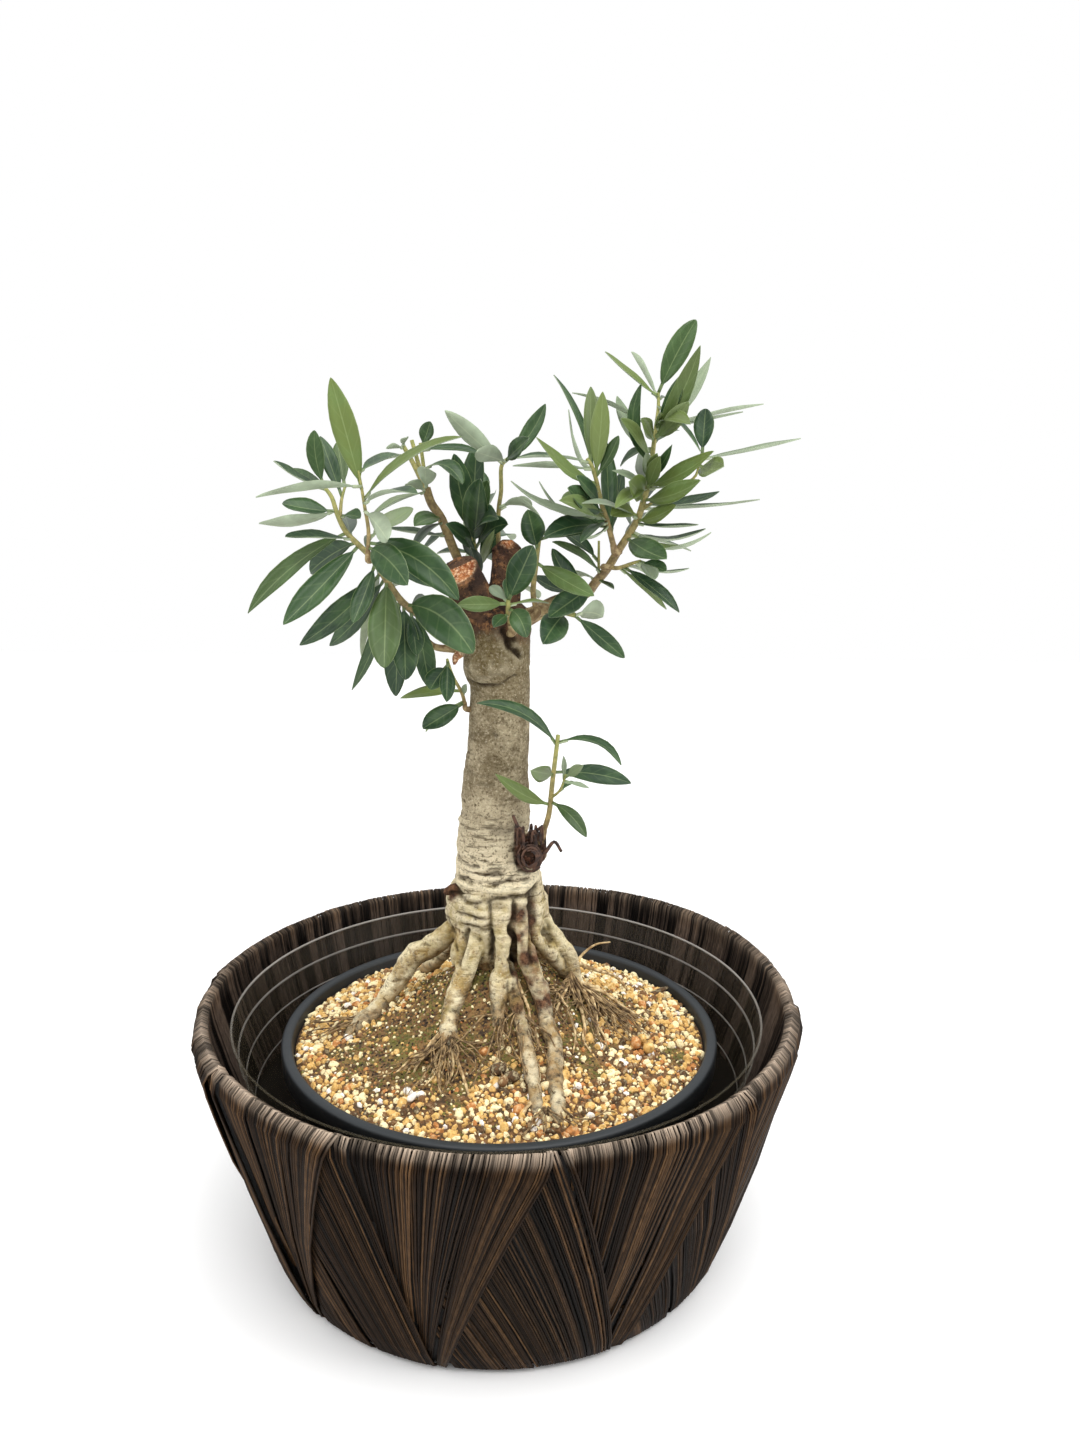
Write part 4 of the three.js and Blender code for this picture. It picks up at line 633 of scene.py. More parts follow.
def computed(tree, operation, first, second=0.0):
    return add_node(tree, "ShaderNodeMath", {"operation": operation}, {0: first, 1: second}).outputs[0]


def times(tree, first, *others):
    """The product of several values."""
    for other in others:
        first = computed(tree, "MULTIPLY", first, other)
    return first


def bumped(tree, height, strength, millimetres):
    return add_node(tree, "ShaderNodeBump", inputs={
        "Height": height, "Strength": strength, "Distance": millimetres * MM}).outputs["Normal"]


# ---- Mesh tools --------------------------------------------------------------------------------

FIRST_SIDE = (0.31, -0.87, 0.38)  # where the first corner of a bar's first ring points


def add_values(mesh, values):
    """Stores named numbers at a mesh's vertices."""
    for name, numbers in values.items():
        layer = mesh.attributes.new(name, "FLOAT", "POINT")
        layer.data.foreach_set("value", np.asarray(numbers, np.float32))


def make_object(name, vertices, faces, material=None, edges=(), values=None, smooth=True):
    """A mesh object from millimetre points, with named values at its vertices."""
    mesh = bpy.data.meshes.new(name)
    mesh.from_pydata((np.asarray(vertices, float) * MM).tolist(), list(edges), list(faces))
    add_values(mesh, values or {})
    mesh.polygons.foreach_set("use_smooth", [smooth] * len(mesh.polygons))
    if material:
        mesh.materials.append(material)
    made = bpy.data.objects.new(name, mesh)
    bpy.context.scene.collection.objects.link(made)
    return made


def finished(piece, slot, *nodes):
    """Fixes a finished piece to the plant and hides the imported parts that it stands for."""
    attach(piece, "root")
    if nodes:
        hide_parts(*nodes)
    return piece


def side_faces(count, around):
    """Four-sided faces between rings of corners, from each ring to the next."""
    faces = []
    for row in range(count - 1):
        for k in range(around):
            a, b = row * around + k, row * around + (k + 1) % around
            faces.append((a, b, b + around, a + around))
    return faces


def end_faces(total, around):
    """The faces over the first and the last ring of corners."""
    return [tuple(range(around))[::-1], tuple(range(total - around, total))]


def tube(rows, sides):
    """Vertices and faces of a closed round bar through rows of x, y, z and radius."""
    rows = np.asarray(rows, float)
    points, radii = rows[:, :3], rows[:, 3]
    along = np.gradient(points, axis=0)
    along /= np.linalg.norm(along, axis=1)[:, None]
    side = np.array(FIRST_SIDE)
    angles = np.arange(sides) / sides * 2 * math.pi
    vertices = []
    for point, way, radius in zip(points, along, radii):
        side = side - way * (side @ way)
        side /= np.linalg.norm(side)
        across = np.cross(way, side)
        ring = np.outer(np.cos(angles), side) + np.outer(np.sin(angles), across)
        vertices.append(point + radius * ring)
    vertices = np.vstack(vertices)
    foot, top = end_faces(len(vertices), sides)
    return vertices, [foot, *side_faces(len(rows), sides), top]


def merged(parts):
    """One list of vertices and faces out of several."""
    vertices, faces, start = [], [], 0
    for points, polygons in parts:
        vertices.append(points)
        faces += [tuple(corner + start for corner in polygon) for polygon in polygons]
        start += len(points)
    return np.vstack(vertices), faces


def turned(profile, facets, centre=(0, 0)):
    """Vertices and faces of a profile of (radius, height) turned round an upright axis."""
    rows = np.asarray(profile, float)
    angles = np.arange(facets) / facets * 2 * math.pi
    vertices = np.array([
        (centre[0] + r * math.cos(a), centre[1] + r * math.sin(a), z) for r, z in rows for a in angles])
    return vertices, side_faces(len(rows), facets) + end_faces(len(vertices), facets)


def line_object(name, lines, values):
    """Open lines of x, y, z and radius rows, each with one number for every name in values."""
    rows = np.vstack(lines)
    starts = np.cumsum([0] + [len(line) for line in lines])
    edges = [(i, i + 1) for a, b in zip(starts[:-1], starts[1:]) for i in range(a, b - 1)]
    layers = {"radius": rows[:, 3] * MM}
    for key, numbers in values.items():
        layers[key] = np.concatenate([np.broadcast_to(n, len(line)) for n, line in zip(numbers, lines)])
    return make_object(name, rows[:, :3], [], None, edges, layers)


# ---- Geometry Nodes ----------------------------------------------------------------------------

def new_tree(name, sockets):
    """A geometry tree with named inputs. Returns it with its input and output nodes."""
    tree = bpy.data.node_groups.new(name, "GeometryNodeTree")
    tree.interface.new_socket("Geometry", in_out="INPUT", socket_type="NodeSocketGeometry")
    for socket, kind in sockets.items():
        tree.interface.new_socket(socket, in_out="INPUT", socket_type="NodeSocket" + kind)
    tree.interface.new_socket("Geometry", in_out="OUTPUT", socket_type="NodeSocketGeometry")
    return tree, add_node(tree, "NodeGroupInput").outputs, add_node(tree, "NodeGroupOutput")


def deliver(tree, result, geometry, smooth, material):
    """Shades and paints the geometry and hands it to the tree's output."""
    shaded = add_node(tree, "GeometryNodeSetShadeSmooth", inputs={
        "Geometry": geometry, "Shade Smooth": smooth})
    painted = add_node(tree, "GeometryNodeSetMaterial", inputs={
        "Geometry": shaded.outputs[0], "Material": material})
    tree.links.new(painted.outputs[0], result.inputs[0])
    return tree


def apply_tree(piece, tree, values):
    """Runs a geometry tree on an object and keeps the result as its plain mesh."""
    modifier = piece.modifiers.new(tree.name, "NODES")
    modifier.node_group = tree
    for item in tree.interface.items_tree:
        if item.in_out == "INPUT" and item.name in values:
            modifier[item.identifier] = values[item.name]
    depsgraph = bpy.context.evaluated_depsgraph_get()
    mesh = bpy.data.meshes.new_from_object(
        piece.evaluated_get(depsgraph), preserve_all_data_layers=True, depsgraph=depsgraph)
    piece.modifiers.remove(modifier)
    before = piece.data
    piece.data = mesh
    bpy.data.meshes.remove(before)


def named_value(tree, name):
    made = add_node(tree, "GeometryNodeInputNamedAttribute", {"data_type": "FLOAT"}, {"Name": name})
    return made.outputs[0]


# Sides of the swept lines.
STRAND_SIDES, STEM_SIDES, STUB_SIDES, ROOTLET_SIDES = 4, 8, 10, 6


def sweep_tree():
    """Sweeps a round section along each line, as thick as the line's radius value says."""
    tree, given, result = new_tree("Sweep strands", {"Sides": "Int", "Material": "Material"})
    curve = add_node(tree, "GeometryNodeMeshToCurve", inputs={"Mesh": given["Geometry"]})
    section = add_node(tree, "GeometryNodeCurvePrimitiveCircle", {"mode": "RADIUS"},
        {"Resolution": given["Sides"], "Radius": 1.0})
    swept = add_node(tree, "GeometryNodeCurveToMesh", inputs={
        "Curve": curve.outputs[0], "Profile Curve": section.outputs[0],
        "Scale": named_value(tree, "radius"), "Fill Caps": True})
    real = add_node(tree, "GeometryNodeRealizeInstances", inputs={0: swept.outputs[0]})
    return deliver(tree, result, real.outputs[0], True, given["Material"])


def add_strands(name, lines, sides, material, slot, node, values=None):
    """Sweeps lines into one finished piece."""
    piece = line_object(name, lines, values or {})
    tree = bpy.data.node_groups.get("Sweep strands") or sweep_tree()
    apply_tree(piece, tree, {"Sides": sides, "Material": material})
    return finished(piece, slot, node)


def random_value(tree, kind, low, high, seed):
    """A random number or vector for each point."""
    first = {"FLOAT": 2, "FLOAT_VECTOR": 0}[kind]
    made = add_node(tree, "FunctionNodeRandomValue", {"data_type": kind},
        {first: low, first + 1: high, "Seed": seed})
    return made.outputs["Value"]


def scaled(tree, vector, factor):
    made = add_node(tree, "ShaderNodeVectorMath", {"operation": "SCALE"}, {0: vector, "Scale": factor})
    return made.outputs[0]


LEAST_STRETCH, MOST_STRETCH = (0.6, 0.6, 0.5), (1.3, 1.3, 1.0)  # a grain's size along its own axes
LUMP_SCALE = 520.0  # of the noise that makes a grain uneven


def grain_tree():
    """Scatters rough grains over a surface, where its share value lets them lie."""
    tree, given, result = new_tree("Scatter grains", {"Spacing": "Float", "Density": "Float",
        "Size": "Float", "Roughness": "Float", "Facets": "Int", "Seed": "Int", "Material": "Material"})
    spread = add_node(tree, "GeometryNodeDistributePointsOnFaces", {"distribute_method": "POISSON"}, {
        "Mesh": given["Geometry"], "Distance Min": given["Spacing"], "Density Max": given["Density"],
        "Density Factor": named_value(tree, "share"), "Seed": given["Seed"]})
    toned = add_node(tree, "GeometryNodeStoreNamedAttribute", {"data_type": "FLOAT", "domain": "POINT"}, {
        "Geometry": spread.outputs["Points"], "Name": "tone",
        "Value": random_value(tree, "FLOAT", 0.0, 1.0, 11)})
    grain = add_node(tree, "GeometryNodeMeshIcoSphere", inputs={
        "Radius": 0.5, "Subdivisions": given["Facets"]})
    turn = random_value(tree, "FLOAT_VECTOR", (0, 0, 0), (math.tau, math.tau, math.tau), 12)
    rotation = add_node(tree, "FunctionNodeEulerToRotation", inputs={0: turn})
    stretch = random_value(tree, "FLOAT_VECTOR", LEAST_STRETCH, MOST_STRETCH, 13)
    size = scaled(tree, stretch, given["Size"])
    laid = add_node(tree, "GeometryNodeInstanceOnPoints", inputs={
        "Points": toned.outputs[0], "Instance": grain.outputs[0],
        "Rotation": rotation.outputs[0], "Scale": size})
    real = add_node(tree, "GeometryNodeRealizeInstances", inputs={0: laid.outputs[0]})
    place = add_node(tree, "GeometryNodeInputPosition").outputs[0]
    lumps = noise_value(tree, place, LUMP_SCALE, 1.0, 0.5)
    height = times(tree, computed(tree, "SUBTRACT", lumps, 0.5), given["Roughness"])
    normal = add_node(tree, "GeometryNodeInputNormal").outputs[0]
    shift = scaled(tree, normal, height)
    moved = add_node(tree, "GeometryNodeSetPosition", inputs={
        "Geometry": real.outputs[0], "Offset": shift})
    return deliver(tree, result, moved.outputs[0], False, given["Material"])


# ---- Cachepot ----------------------------------------------------------------------------------

SHEEN_HEIGHTS = (0.0995, 0.1052)  # metres: where the painted highlight on the rim begins, and where it is brightest
TUCK_AT_RIM, TUCK_AT_FOOT = 2.5, 1.5  # degrees by which a band reaches under the next one
FIRST_LEAN = 30.2  # degrees from the band's foot to the top of its first strand that leans right
FIRST_FOOT_LEFT, FIRST_FOOT_RIGHT = 2, 2.8  # degrees from the band's edge to the first strand's foot
PLEATS = {1: 3, -1: 2}  # pleats in a band whose strands slant that way
PLEAT_SPLAY, PLEAT_BEND = 1.6, 0.5  # degrees by which the feet of a pleat's strands fan out and shift
THICKNESS_RANGE = (0.85, 1.12)  # shares of a strand's usual radius
# Stations of the profile, and how much of a strand's lift is left at each.
LIFT_FADE = ([0, 1, 3, 7, 9, 11], [0.1, 0.3, 1, 0.9, 0.35, 0])
WOBBLE, WOBBLE_STATIONS = 0.22, [0, 4, 9, 13]  # degrees, and where along the profile it changes
LIFT_JITTER = 0.14
MEAN_TONE, TONE_SPREAD, BUNDLE_TONE_SPREAD = 0.42, 0.21, 0.09
SHELL_DEPTH, INNER_SHELL_DEPTH = 1.3, 0.9  # how far the shell lies behind the strands
SHELL_FACETS = 96


def strand_material(settings):
    # Dyed rush, twisted thin and lacquered: satin, nearly black to bronze, with a painted highlight on the
    # rim's top.
    material, tree = new_material("Dyed rush strand, satin lacquer")
    tone, outer = attribute(tree, "tone"), attribute(tree, "outer")
    dyed = colour_ramp(tree, tone, [(0.0, settings.strand_dark), (0.5, settings.strand_mid),
        (1.0, settings.strand_light)])
    within = colour_ramp(tree, tone, [(0.15, "#0d0a09"), (0.9, "#6e5f54")])
    streaks = noise_value(tree, stretched(tree, 1.0, 1.0, 0.25), 700.0)
    rolled = computed(tree, "POWER", remapped(tree, coordinate(tree, "Z"), *SHEEN_HEIGHTS), 2.2)
    near = remapped(tree, coordinate(tree, "Y"), 0.06, -0.08, 0.25, 1.0)
    # The rim's top is painted pale, more towards the front: a painted highlight.
    painted_highlight = times(tree, rolled, outer, near, remapped(tree, tone, 0.1, 0.85, 0.15, 0.95))
    colour = layered(tree, within, (dyed, outer), (settings.strand_dark, streaks, 0.7, 0.35, 0.5),
        (settings.rim_sheen, painted_highlight))
    return surfaced(material, {"Base Color": colour, "Normal": bumped(tree, streaks, 0.35, 0.15),
        "Roughness": 0.5, "Specular IOR Level": 0.07})


def backing_material(settings):
    # The paperboard shell under the wrap, painted nearly black: painted shade in the gaps between strands.
    material, tree = new_material("Paperboard shell painted dark for shade")
    grain = noise_value(tree, stretched(tree), 260.0)
    colour = layered(tree, settings.backing, (settings.strand_dark, grain, 0.3, 0.7))
    return surfaced(material, {"Base Color": colour, "Roughness": 0.85})


def sprung(points):
    """The cachepot's points with its rim sprung up and out a little at the back on the right."""
    bearing = np.degrees(np.arctan2(points[:, 0], -points[:, 1]))
    share = np.exp(-(((bearing - SPRUNG_BEARING) / SPRUNG_SPREAD) ** 2))
    share *= smooth_step(30, 100, points[:, 2])
    moved = points.copy()
    moved[:, :2] *= 1 + (SPRUNG_OUT * share / np.hypot(points[:, 0], points[:, 1]))[:, None]
    moved[:, 2] += SPRUNG_UP * share
    return moved


def band_edges(number, slant):
    """Degrees of a band's left edge and right edge, each at the rim and the foot, and of the tops and
    the feet of its first and last strands."""
    rim, base = BANDS[number]
    later = BANDS[(number + 1) % len(BANDS)]
    next_rim, next_base = np.add(later, 360 if number + 1 == len(BANDS) else 0)
    under_rim, over_base = next_rim - TUCK_AT_RIM, base + TUCK_AT_FOOT
    if slant == 1:
        feet = (rim + FIRST_FOOT_LEFT, over_base)
        return (rim, base), (under_rim, over_base), (rim, under_rim), feet
    tops, feet = (base - FIRST_LEAN, next_rim), (base + FIRST_FOOT_RIGHT, next_base)
    return (under_rim, over_base), (next_rim, next_base), tops, feet


def kept_stations(shown, slant):
    """The stretch of a strand that the next band doesn't hide."""
    if slant == 1:
        hidden = np.flatnonzero(~shown[:RIM_STATION])
        return slice(hidden[-1] if len(hidden) else 0, None)
    hidden = np.flatnonzero(~shown)
    return slice(0, hidden[0] + 1 if len(hidden) else None)


def band_lines(settings, slant):
    """Rows of every strand that slants one way: 1 for down to the left, -1 for down to the right."""
    random = random_from(40 + slant)
    profile = np.array(WALL_PROFILE)
    stations = np.arange(len(profile))
    rising = np.minimum(profile[:, 1] / profile[RIM_STATION, 1], 1)
    rising[RIM_STATION:] = 1
    fade = np.interp(stations, *LIFT_FADE)
    outer = smooth_step(RIM_STATION + 2.5, RIM_STATION + 0.5, stations)
    pleats = PLEATS[slant]
    lines, tones, outers = [], [], []
    for number in range(len(BANDS)):
        left, right, tops, feet = band_edges(number, slant)
        left_edge = left[1] + (left[0] - left[1]) * rising
        right_edge = right[1] + (right[0] - right[1]) * rising
        width = np.maximum(right_edge - left_edge, 0.8)
        bend = random.uniform(-PLEAT_BEND, PLEAT_BEND, pleats)
        creases = random.uniform(0, settings.strands, settings.strands // BUNDLE)
        bundle_tones = random.normal(0, BUNDLE_TONE_SPREAD, len(creases) + 1)
        for k in range(settings.strands):
            share = (k + 0.5 + random.uniform(-0.25, 0.25)) / settings.strands
            pleat = min(int(share * pleats), pleats - 1)
            within = share * pleats - pleat
            top = tops[0] + (tops[1] - tops[0]) * share
            foot = feet[0] + (feet[1] - feet[0]) * share + (0.5 - within) * PLEAT_SPLAY + bend[pleat]
            wobble = np.interp(stations, WOBBLE_STATIONS, random.uniform(-WOBBLE, WOBBLE, 4))
            angle = foot + (top - foot) * rising + wobble
            inside = (angle - left_edge) / width
            crease = math.exp(-(np.min(np.abs(creases - k)) / 1.1) ** 2)
            lift = BAND_LIFT * np.clip(inside, 0, 1) ** 1.5
            lift += PLEAT_LIFT * within ** 2 - CREASE_DEPTH * crease
            lift = np.where(inside < 0, -0.4, lift) + random.uniform(-LIFT_JITTER, LIFT_JITTER)
            keep = kept_stations(inside > -0.9 / width, slant)
            radius = profile[:, 0] + lift * fade - 0.25
            bearing = np.radians(angle)
            thick = settings.strand_radius / MM * random.uniform(*THICKNESS_RANGE)
            rows = np.column_stack([radius * np.sin(bearing), -radius * np.cos(bearing), profile[:, 1],
                np.full(len(profile), thick)])[keep]
            if len(rows) < 2:
                continue
            lines.append(sprung(rows))
            bundle = bundle_tones[np.sum(creases < k)]
            # Strands in a crease between bundles get a darker tone: painted shade in the crease, on top of
            # their random and bundle tones.
            tone = random.normal(MEAN_TONE, TONE_SPREAD) + bundle + 0.12 * within - 0.45 * crease
            inner_tone = 0.5 + 3.2 * bundle - 0.6 * crease + 0.4 * (tone - MEAN_TONE)
            tones.append(np.clip(outer * tone + (1 - outer) * inner_tone, 0, 1)[keep])
            outers.append(outer[keep])
    return lines, {"tone": tones, "outer": outers}


class BONSAI_OT_cachepot(bpy.types.Operator):
    """Wraps the cachepot's shell in two crossing sets of strands"""

    bl_idname = "bonsai.cachepot"
    bl_label = "Cachepot"

    def execute(self, context):
        settings = context.scene.bonsai_pots
        shell = [(r - SHELL_DEPTH, z) for r, z in WALL_PROFILE[1:RIM_STATION - 1]]
        shell += [(119.0, 101.8), (118.2, 103.2), (117.2, 102.4)]
        shell += [(r + INNER_SHELL_DEPTH, z) for r, z in WALL_PROFILE[RIM_STATION + 2:]]
        profile = [(0.5, 0.0), (88.0, 0.0), *shell, (88.5, 5.0), (86.0, 4.0), (0.5, 4.0)]
        vertices, faces = turned(profile, SHELL_FACETS)
        backing = make_object("cachepot_shell", sprung(vertices), faces, backing_material(settings))
        finished(backing, "wicker", "cachepot")
        material = strand_material(settings)
        for name, slant in (("strands_leaning_left", 1), ("strands_leaning_right", -1)):
            lines, values = band_lines(settings, slant)
            add_strands(name, lines, STRAND_SIDES, material, "wicker", "cachepot", values)
        return {"FINISHED"}


# ---- Liner and nursery pot ---------------------------------------------------------------------

LINER_WALL = 0.6
POT_FACETS = 128  # of the liner and the nursery pot
RIDGE_SIDES = 6
LINER_OUTER = [(82, 4.6), (98, 66), (100.3, 68), (101.2, 77), (103.0, 79), (104.0, 87.5), (105.6, 89.5),
    (106.4, 96.5), (107.6, 98)]
# Moulded ridges and the lip of the liner: radius, height and half thickness.
LINER_RIDGES = ((107.3, 98.2, 0.5), (104.9, 88.8, 0.5), (102.3, 78.2, 0.36), (99.3, 67.2, 0.3))
POT_PROFILE = [(0.5, 5.8), (69.6, 5.8), (71.2, 7.4), (84.0, 80.6), (84.6, 81.0), (87.8, 81.0),
    (88.2, 81.4), (88.6, 88.6), (88.3, 89.5), (87.6, 90.0), (85.2, 90.0), (84.4, 89.6),
    (84.0, 88.6), (69.0, 8.2), (68.0, 7.6), (0.5, 7.6)]
LIP_HEIGHTS = (0.0888, 0.0899)  # metres: where the wall ends and the lip begins, painted paler with scuffs and a painted highlight


def liner_material(name, shade, back, front):
    # Thin vacuum-formed PET: almost unseen on its walls. It is painted brighter and more opaque towards the
    # back, a painted reflection on its far edges, and dull olive and clearer towards the near side, against
    # the dark wrap.
    material, tree = new_material(name)
    far = remapped(tree, coordinate(tree, "Y"), -0.06, 0.03)
    return surfaced(material, {"Base Color": mixed(tree, far, "#4d4636", shade),
        "Alpha": remapped(tree, far, 0.0, 1.0, front, back), "Roughness": 0.35, "Specular IOR Level": 0.15})


class BONSAI_OT_liner(bpy.types.Operator):
    """Turns the clear liner, with its lip and moulded ridges as rings of their own"""

    bl_idname = "bonsai.liner"
    bl_label = "Clear liner"

    def execute(self, context):
        settings = context.scene.bonsai_pots
        inner = [(r - LINER_WALL, z + 0.2) for r, z in LINER_OUTER[::-1]]
        vertices, faces = turned([(0.5, 4.6), *LINER_OUTER, (107.2, 98.2), *inner, (0.5, 5.2)], POT_FACETS)
        plastic = liner_material("Clear PET wall", "#3d352a", 0.2, 0.1)
        finished(make_object("liner_wall", vertices, faces, plastic), "clear_plastic", "liner")
        parts = []
        for radius, height, thick in LINER_RIDGES:
            ring = [(radius + thick * math.cos(a), height + thick * math.sin(a))
                for a in np.linspace(0, 2 * math.pi, RIDGE_SIDES + 1)[:-1]]
            points, polygons = turned([*ring, ring[0]], POT_FACETS)
            parts.append((points, polygons[:-2]))
        plastic = liner_material("Clear PET edge", settings.liner, 0.7, 0.25)
        finished(make_object("liner_ridges", *merged(parts), plastic), "clear_plastic", "liner")
        return {"FINISHED"}


def pot_material(settings):
    # Injection-moulded polypropylene, black, with a fine matt skin, and a flat lip painted paler grey:
    # partly scuffs, partly a painted highlight.
    material, tree = new_material("Black polypropylene, matt")
    scuffs = noise_value(tree, stretched(tree), 120.0, 6.0)
    lip = remapped(tree, coordinate(tree, "Z"), *LIP_HEIGHTS)
    # The lip's top is painted paler, mottled by scuffs: partly a painted highlight.
    painted_highlight = times(tree, lip, remapped(tree, scuffs, 0.3, 0.6, 0.55, 1.0))
    return surfaced(material, {"Base Color": mixed(tree, painted_highlight, settings.plastic, settings.plastic_lip),
        "Roughness": remapped(tree, scuffs, 0.2, 0.8, 0.45, 0.62),
        "Normal": bumped(tree, scuffs, 0.2, 0.1), "IOR": 1.49})


class BONSAI_OT_nursery_pot(bpy.types.Operator):
    """Turns the nursery pot with its flat lip"""

    bl_idname = "bonsai.nursery_pot"
    bl_label = "Nursery pot"

    def execute(self, context):
        vertices, faces = turned(POT_PROFILE, POT_FACETS, POT_CENTRE)
        plastic = pot_material(context.scene.bonsai_pots)
        finished(make_object("nursery_pot_shell", vertices, faces, plastic), "black_plastic", "nursery_pot")
        return {"FINISHED"}


# ---- Soil --------------------------------------------------------------------------------------

MOUND_FACETS, MOUND_RINGS = 160, 64
MOUND_FOOT = [(0.5, 8.0), (68.0, 8.0), (81.9, 80.0)]  # the mound's underside and side, inside the pot


def mound_height(x, y):
    """Height of the soil at a place, before its grains are laid on it."""
    radius = np.hypot(x - POT_CENTRE[0], y - POT_CENTRE[1])
    dome = SOIL_DOME * (1 - np.minimum(radius / SOIL_RADIUS, 1) ** 2)
    return SOIL_EDGE + dome + SOIL_HEAP * np.exp(-((radius / HEAP_SPREAD) ** 2))


def mound_mesh():
    """The mound's closed mesh, with its shares of grit, moss and bare earth at each corner."""
    radii = SOIL_RADIUS * np.linspace(1, 0.004, MOUND_RINGS)
    profile = [*MOUND_FOOT, *[(r, 0.0) for r in radii]]
    vertices, faces = turned(profile, MOUND_FACETS, POT_CENTRE)
    away = np.hypot(vertices[:, 0] - POT_CENTRE[0], vertices[:, 1] - POT_CENTRE[1])
    top = slice(len(MOUND_FOOT) * MOUND_FACETS, None)
    flat = vertices[top].copy()
    edge = smooth_step(SOIL_RADIUS, SOIL_RADIUS - 4, away[top])
    lumps = 0.9 * rough(flat, 9, 3) + 0.5 * rough(flat, 3, 4)
    vertices[top, 2] = mound_height(flat[:, 0], flat[:, 1]) + edge * lumps
    grit = smooth_step(30, 56, away + 12 * rough(vertices, 16, 7))
    patchy = 0.5 + 0.9 * rough(vertices, 7, 9)
    moss = np.clip(smooth_step(66, 34, away + 12 * rough(vertices, 12, 8)) * patchy, 0, 1)
    earth = smooth_step(60, 36, away)
    frayed = 0.35 * rough(vertices, 8, 10)
    for x, y, reach, green in BARE_PATCHES:
        out = np.hypot(vertices[:, 0] - x, vertices[:, 1] - y) / reach
        bare = smooth_step(1.1, 0.6, out + frayed)
        grit = grit * (1 - 0.8 * bare)
        moss = np.maximum(moss, bare * green)
        earth = np.maximum(earth, bare)
    on_top = (np.arange(len(vertices)) >= top.start) & (away < SOIL_RADIUS - 1.2)
    return vertices, faces, grit * on_top, moss * on_top, earth


def earth_material(settings):
    # Damp composted earth with a film of moss, under and between the grains. Under the grit it is kept dark:
    # partly its own colour, partly painted shade in the gaps between grains.
    material, tree = new_material("Damp earth and moss")
    clods = noise_value(tree, stretched(tree), 420.0, 6.0)
    blotches = noise_value(tree, stretched(tree), 75.0)
    # Dark earth under the grit: partly painted shade between the grains.
    dry = layered(tree, settings.earth, (settings.brown, clods, 0.4, 0.62))
    damp = layered(tree, "#35271a", ("#80623b", clods, 0.4, 0.58), (settings.moss, blotches, 0.48, 0.6, 0.6))
    return surfaced(material, {"Base Color": mixed(tree, attribute(tree, "earth"), dry, damp),
        "Normal": bumped(tree, clods, 0.9, 0.8), "Roughness": 0.95})


def grit_material(settings):
    # Fired clay and pumice grit: cream, ochre and brown chips, chalky and dull, each a little mottled.
    material, tree = new_material("Clay and pumice grit")
    chips = colour_ramp(tree, attribute(tree, "tone"), [(0.0, settings.ochre), (0.18, settings.cream),
        (0.36, settings.brown), (0.46, settings.ochre), (0.58, settings.cream), (0.74, settings.orange),
        (0.82, settings.earth), (0.89, settings.ochre), (0.96, settings.white)], "CONSTANT")
    chalk = noise_value(tree, stretched(tree), 700.0)
    colour = layered(tree, chips, (settings.cream, chalk, 0.5, 0.75, 0.55),
        (settings.brown, chalk, 0.48, 0.3, 0.7))
    return surfaced(material, {"Base Color": colour, "Normal": bumped(tree, chalk, 0.5, 0.2),
        "Roughness": 0.9})


def crumb_material(settings):
    # Crumbs of composted bark and cushion moss: dark brown, tan and dull olive.
    material, tree = new_material("Compost crumbs and cushion moss")
    crumbs = colour_ramp(tree, attribute(tree, "tone"), [(0.0, settings.brown), (0.2, settings.moss),
        (0.36, "#8f7043"), (0.54, "#7a7739"), (0.66, "#a8884f"), (0.78, "#2c2016"),
        (0.92, settings.cream)], "CONSTANT")
    tufts = noise_value(tree, stretched(tree), 500.0)
    colour = layered(tree, crumbs, (settings.earth, tufts, 0.45, 0.7, 0.5))
    return surfaced(material, {"Base Color": colour, "Roughness": 1.0})


class BONSAI_OT_soil(bpy.types.Operator):
    """Heaps the earth up to the trunk"""

    bl_idname = "bonsai.soil"
    bl_label = "Earth mound"

    def execute(self, context):
        vertices, faces, _, _, earth = mound_mesh()
        material = earth_material(context.scene.bonsai_soil)
        piece = make_object("earth_mound", vertices, faces, material, values={"earth": earth})
        finished(piece, "grit", "soil")
        return {"FINISHED"}


